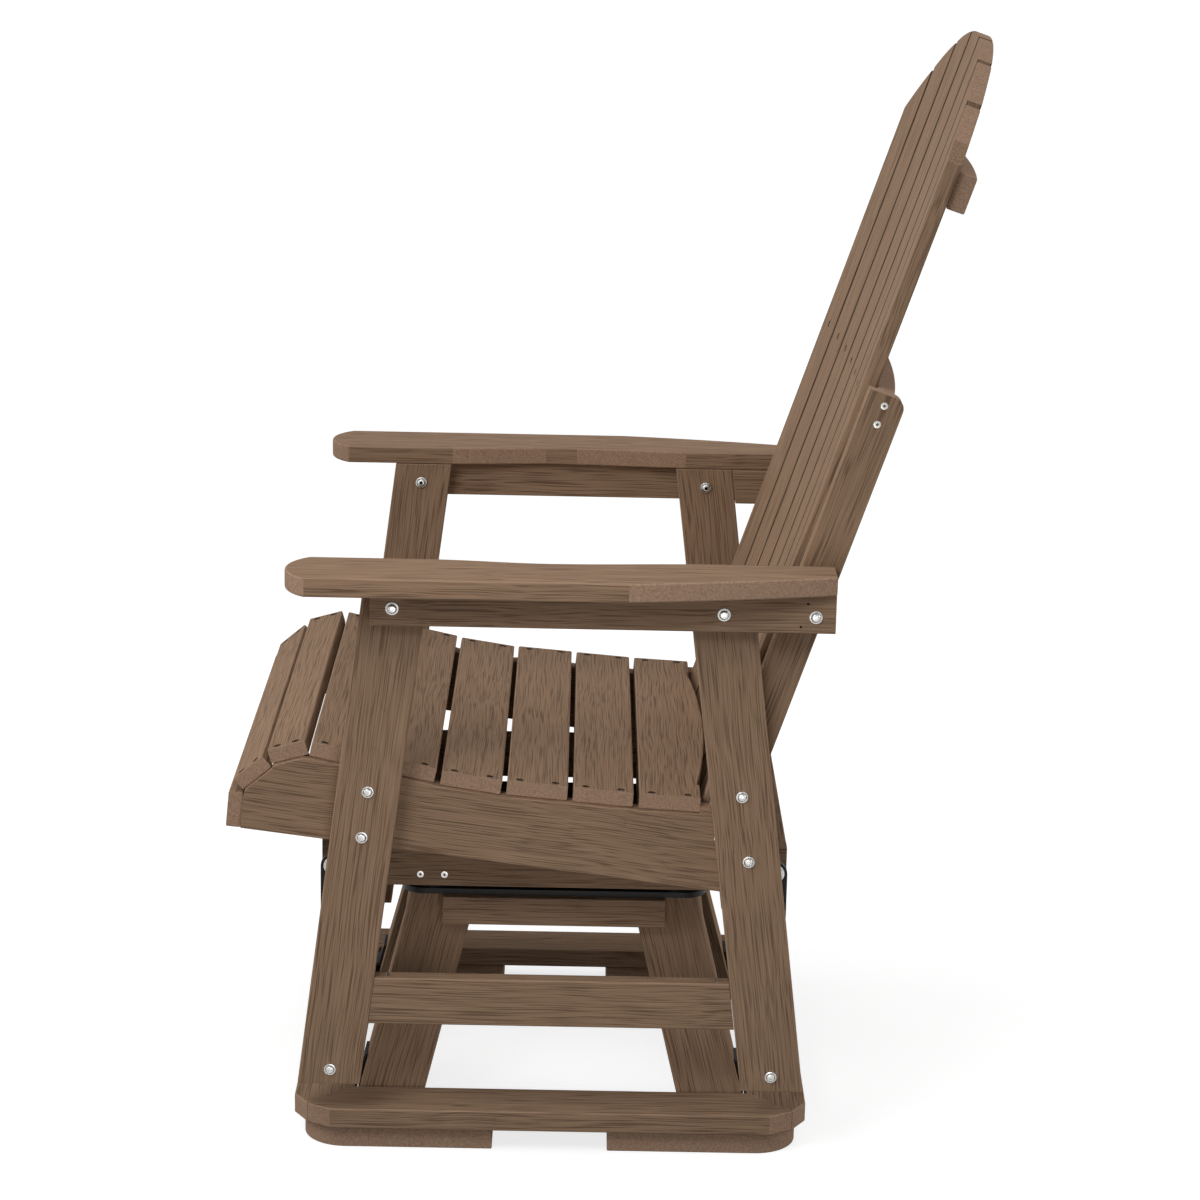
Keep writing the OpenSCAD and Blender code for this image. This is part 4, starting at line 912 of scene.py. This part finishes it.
leg_bolts = [(-leg_y(z), z) for z in FRONT_LEG_BOLTS] + [(leg_y(z), z) for z in REAR_LEG_BOLTS]
frame_bolts, pivot_bolts, slat_screws = [], [], []
for _, side in SIDES:
    for end in (-1, 1):
        y = end * leg_y(ARM_BOLT_Z)
        frame_bolts += [side_bolt(RAIL_FACE, LEG_IN + BOLT_SHORT, y, ARM_BOLT_Z, side),
                        cap_nut(LEG_IN, y, ARM_BOLT_Z, side)]
    frame_bolts += [side_bolt(RAIL_FACE, RAIL_IN + BOLT_SHORT, *POST_BOLT, side),
                    cap_nut(RAIL_IN, *POST_BOLT, side)]
    for y, z in leg_bolts:
        frame_bolts += [side_bolt(LEG_OUT, RAIL_IN + BOLT_SHORT, y, z, side, LEG_HEAD_R),
                        cap_nut(RAIL_IN, y, z, side, DOME_NUT_R, DOME_NUT_H)]
    for end in (-1, 1):
        pivot_bolts += [side_bolt(LEG_OUT, PIVOT_BOLT_END, end * PIVOT_Y, PIVOT_LOW, side, LEG_HEAD_R),
                        hex_nut(shift(PIVOT_NUT_AT, end * PIVOT_Y, PIVOT_LOW) @ turn(90, "Y"), side)]
    for i, (y, z, angle, _) in enumerate(SEAT):
        for v in seat_screws(i):
            place = shift(SEAT_SCREW_X, y, z) @ turn(angle, "X") @ shift(y=v)
            slat_screws.append(screw(LONG["seat"], place, side, SUNK_SEAT))
    for z in (10, APRON_H - 10):
        place = shift(x=SEAT_SCREW_X) @ apron @ shift(z=z) @ turn(90, "X")
        slat_screws.append(screw(LONG["seat"], place, side))
    for end in (-1, 1):
        toe = shift(LEG_IN + BOARD / 2, end * (leg_y(LOW_RAIL[1]) - LEG_W / 2 - TOE_SCREW), LOW_RAIL[1])
        slat_screws.append(screw(LONG["toe"], toe @ turn(end * 45, "X"), side, 0.6))
    for y in ARM_SCREWS:
        place = shift(RAIL_FACE - BOARD / 2, y, ARM_RAIL_LOW) @ turn(180, "X")
        slat_screws.append(screw(LONG["arm"], place, side))
    for y, z in POST_NAILS:
        slat_screws.append(nail(LONG["post_nail"], shift(RAIL_FACE, y, z) @ turn(90, "Y"), side))
    for w in POST_SCREWS:
        place = BACK @ shift(LEG_IN, POST_SCREW_V, w) @ turn(90, "Y")
        slat_screws.append(screw(LONG["post"], place, side))
for i in range(-3, 4):
    middle = i * BACK_PITCH
    front = on_arc(middle, RAIL_W["middle"] + RAIL_H / 2)
    slat_screws.append(screw(LONG["back"], front @ turn(90, "X"), LEFT, SUNK_BACK))
    for w in (RAIL_W["top"], RAIL_W["bottom"]):
        behind = on_arc(middle, w + RAIL_H / 2) @ shift(y=SLAT + GAP + RAIL_D)
        slat_screws.append(screw(LONG["back"], behind @ turn(-90, "X"), LEFT))
steel("frame_bolts", frame_bolts, "chair")
steel("pivot_bolts", pivot_bolts, "chair")
steel("slat_screws", slat_screws, "chair")

SUB_SCREW_Y = 12.7      # the side boards' screws, from the deck's middle
SUB_SCREW_RISE = 12.6   # and from the boards' lower edge
LAG_LEN = 70.0          # of the hangers' lag bolts inside the subframe
LAG_HEAD_H = 3.5
DECK_BOLTS = (60, 125)
DECK_HEAD_H = 3.8
DECK_NUT_R = 7.4
DECK_BOLT_END, DECK_NUT_DOWN = 8, 6.6     # under the upper plate
PLATE_SCREWS = ((146, 112), (40, 146))
PED_RAIL_SCREWS, PED_RAIL_SCREW_DOWN = (93, 105), 14
PAD_SCREW_X, PAD_SCREWS = RING_HALF - 30, (RING_HALF - 75, RING_HALF - 170)
BRACKET_X = 164.5       # middle of a corner bracket
BRACKET_FACE = GAP + 3.0      # its outer face from the board that it is screwed to
BRACKET_REACH, BRACKET_RISE = 16, 17     # its screws from the ring's inner edge and over its top

subframe_fasteners, base_screws = [], []
for _, side in SIDES:
    for y_side in (REAR, FRONT):
        both = side @ y_side
        for step in (-SUB_SCREW_Y, SUB_SCREW_Y):
            place = shift(SUB_OUT, DECK_Y + step, SUB_Z + SUB_SCREW_RISE) @ turn(90, "Y")
            subframe_fasteners.append(screw(LONG["subframe"], place, both))
        hang = shift(HANGER_OUT + GAP, PIVOT_Y, PIVOT_TOP) @ turn(90, "Y")
        subframe_fasteners.append(headed(SUB_IN - LAG_LEN - HANGER_OUT, LAG_HEAD_H, hang, both))
        beside = shift(SUB_OUT + 0.1, PIVOT_Y, PIVOT_TOP) @ turn(90, "Y")
        subframe_fasteners.append(tube(HANGER_IN - SUB_OUT - 0.4, beside, both))
        for x in DECK_BOLTS:
            deck = shift(x, DECK_Y, DECK_Z + BOARD + 0.1)
            deep = PLATE_LOW - DECK_BOLT_END - DECK_Z - BOARD
            subframe_fasteners.append(headed(deep, DECK_HEAD_H, deck, both))
            subframe_fasteners.append(hex_nut(shift(x, DECK_Y, PLATE_LOW - DECK_NUT_DOWN), both, DECK_NUT_R))
        for x, y in PLATE_SCREWS:
            base_screws.append(screw(LONG["plate"], shift(x, y, PLATE_TOP), both, 0.0))
        for y in PED_RAIL_SCREWS:
            place = SIDE_PANEL @ shift(-BOARD, y, (PED_TOP - PED_RAIL_SCREW_DOWN) / PED_COS) @ turn(-90, "Y")
            base_screws.append(screw(LONG["panel_rail"], place, both))
        for y in PAD_SCREWS:
            place = shift(PAD_SCREW_X, y, 0.6) @ turn(180, "X")
            base_screws.append(screw(LONG["pad"], place, both))
        on_ring = shift(BRACKET_X, RING_IN + BRACKET_REACH, RING_TOP + BRACKET_FACE)
        up_panel = (RING_TOP + BRACKET_RISE) / PED_COS
        on_panel = END_PANEL @ shift(BRACKET_FACE, BRACKET_X, up_panel) @ turn(90, "Y")
        for place in (on_ring, on_panel):
            base_screws.append(screw(LONG["bracket"], place, both, 0.0))
steel("subframe_fasteners", subframe_fasteners, "swivel_frame")
steel("base_screws", base_screws, "base")

# CAD parts that keep their own shape
POWDER_COATED = ("corner_brackets", "swivel_lower_plate", "swivel_upper_plate", "front_hangers",
                 "rear_hangers", "pivot_spacers")
BRIGHT = ("swivel_balls", "front_bearings", "rear_bearings")
for names, finish in ((POWDER_COATED, powder_coat), (BRIGHT, stainless_steel)):
    for name in names:
        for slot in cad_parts[name].material_slots:
            slot.material = finish

# Floor, light and camera, in metres
LIT_SKY = 0.14          # plain white light from all round
SKY_SEEN = 1.0          # and the white that the camera sees
FLOOR_BOUNCE = "#404040"
FLOOR_SEEN = "#b4b4b4"
FLOOR_GLOW = 0.76       # lifts the floor to white and leaves it a soft shadow
AIM = Vector((0.1, 0.0, 0.45))


def seen_rays(tree):
    """1 for rays by which the camera sees a thing, directly, mirrored or through another, else 0."""
    path = node(tree, "ShaderNodeLightPath").outputs
    direct = node(tree, "ShaderNodeMath", {0: path["Is Camera Ray"], 1: path["Is Glossy Ray"]},
                  operation="MAXIMUM")
    return node(tree, "ShaderNodeMath", {0: direct.outputs[0], 1: path["Is Transmission Ray"]},
                operation="MAXIMUM").outputs[0]


def make_floor_paint():
    """Matt white paint, seen as white, that throws only a little light up at the chair."""
    made = bpy.data.materials.new("pale_floor")
    made.use_nodes = True
    tree = made.node_tree
    tree.nodes.remove(tree.nodes["Principled BSDF"])
    dull = node(tree, "ShaderNodeBsdfDiffuse", {"Color": linear(FLOOR_BOUNCE)})
    pale = node(tree, "ShaderNodeBsdfDiffuse", {"Color": linear(FLOOR_SEEN)})
    glow = node(tree, "ShaderNodeEmission", {"Color": linear("#ffffff"), "Strength": FLOOR_GLOW})
    soft_shadow = node(tree, "ShaderNodeAddShader", {0: pale.outputs[0], 1: glow.outputs[0]})
    mixed = node(tree, "ShaderNodeMixShader", {0: seen_rays(tree), 1: dull.outputs[0],
                                               2: soft_shadow.outputs[0]})
    tree.links.new(mixed.outputs[0], tree.nodes["Material Output"].inputs["Surface"])
    return made


def lamp(name, place, power, size, distant=False):
    """A soft lamp that shines at the chair: a panel of a size in metres, or a distant one of a size in
    degrees."""
    data = bpy.data.lights.new(name, "SUN" if distant else "AREA")
    data.energy = power
    if distant:
        data.angle = math.radians(size)
    else:
        data.size = size
    made = bpy.data.objects.new(name, data)
    made.location = place
    made.rotation_euler = (AIM - Vector(place)).to_track_quat("-Z", "Y").to_euler()
    bpy.context.collection.objects.link(made)


floor_mesh = bpy.data.meshes.new("floor")
bm = bmesh.new()
bmesh.ops.create_grid(bm, x_segments=1, y_segments=1, size=60)
bm.to_mesh(floor_mesh)
bm.free()
floor_mesh.materials.append(make_floor_paint())
floor = bpy.data.objects.new("floor", floor_mesh)
bpy.context.collection.objects.link(floor)

world = bpy.data.worlds.new("studio")
bpy.context.scene.world = world
world.use_nodes = True
background = world.node_tree.nodes["Background"]
strength = node(world.node_tree, "ShaderNodeMapRange",
                {"Value": seen_rays(world.node_tree), "To Min": LIT_SKY, "To Max": SKY_SEEN})
world.node_tree.links.new(strength.outputs["Result"], background.inputs["Strength"])
background.inputs["Color"].default_value = (1, 1, 1, 1)

lamp("overhead", (0.1, 0.0, 5.0), 0.7, 60, distant=True)
lamp("front", (0.1, -5.0, 1.8), 1.3, 60, distant=True)
lamp("rear", (0.1, 5.0, 2.0), 1.1, 50, distant=True)
lamp("camera_side_high", (1.5, -0.9, 1.8), 15.5, 0.8)
lamp("camera_side_low", (1.3, 0.0, 0.35), 2.6, 0.5)
lamp("far_side", (-1.8, 0.0, 1.2), 3.0, 1.2)

# The camera was fitted to the photograph's board edges; angles in radians
CAMERA_AT = (3.49269, -0.02843, 1.45446)
PITCH, YAW, ROLL = 0.2574, -0.0062, 0.0206
ahead = Vector((-math.cos(PITCH) * math.cos(YAW), -math.cos(PITCH) * math.sin(YAW), -math.sin(PITCH)))
right = ahead.cross(Vector((0, 0, 1))).normalized()
up = right.cross(ahead)
level_right = math.cos(ROLL) * right + math.sin(ROLL) * up
level_up = math.cos(ROLL) * up - math.sin(ROLL) * right
camera = bpy.data.objects.new("camera", bpy.data.cameras.new("camera"))
camera.data.sensor_width = 36.0
camera.data.lens = 98.864
camera.data.clip_end = 200
facing = Matrix((level_right, level_up, -ahead)).transposed().to_4x4()
camera.matrix_world = Matrix.Translation(CAMERA_AT) @ facing
bpy.context.collection.objects.link(camera)
bpy.context.scene.camera = camera
bpy.context.scene.view_settings.view_transform = "Standard"
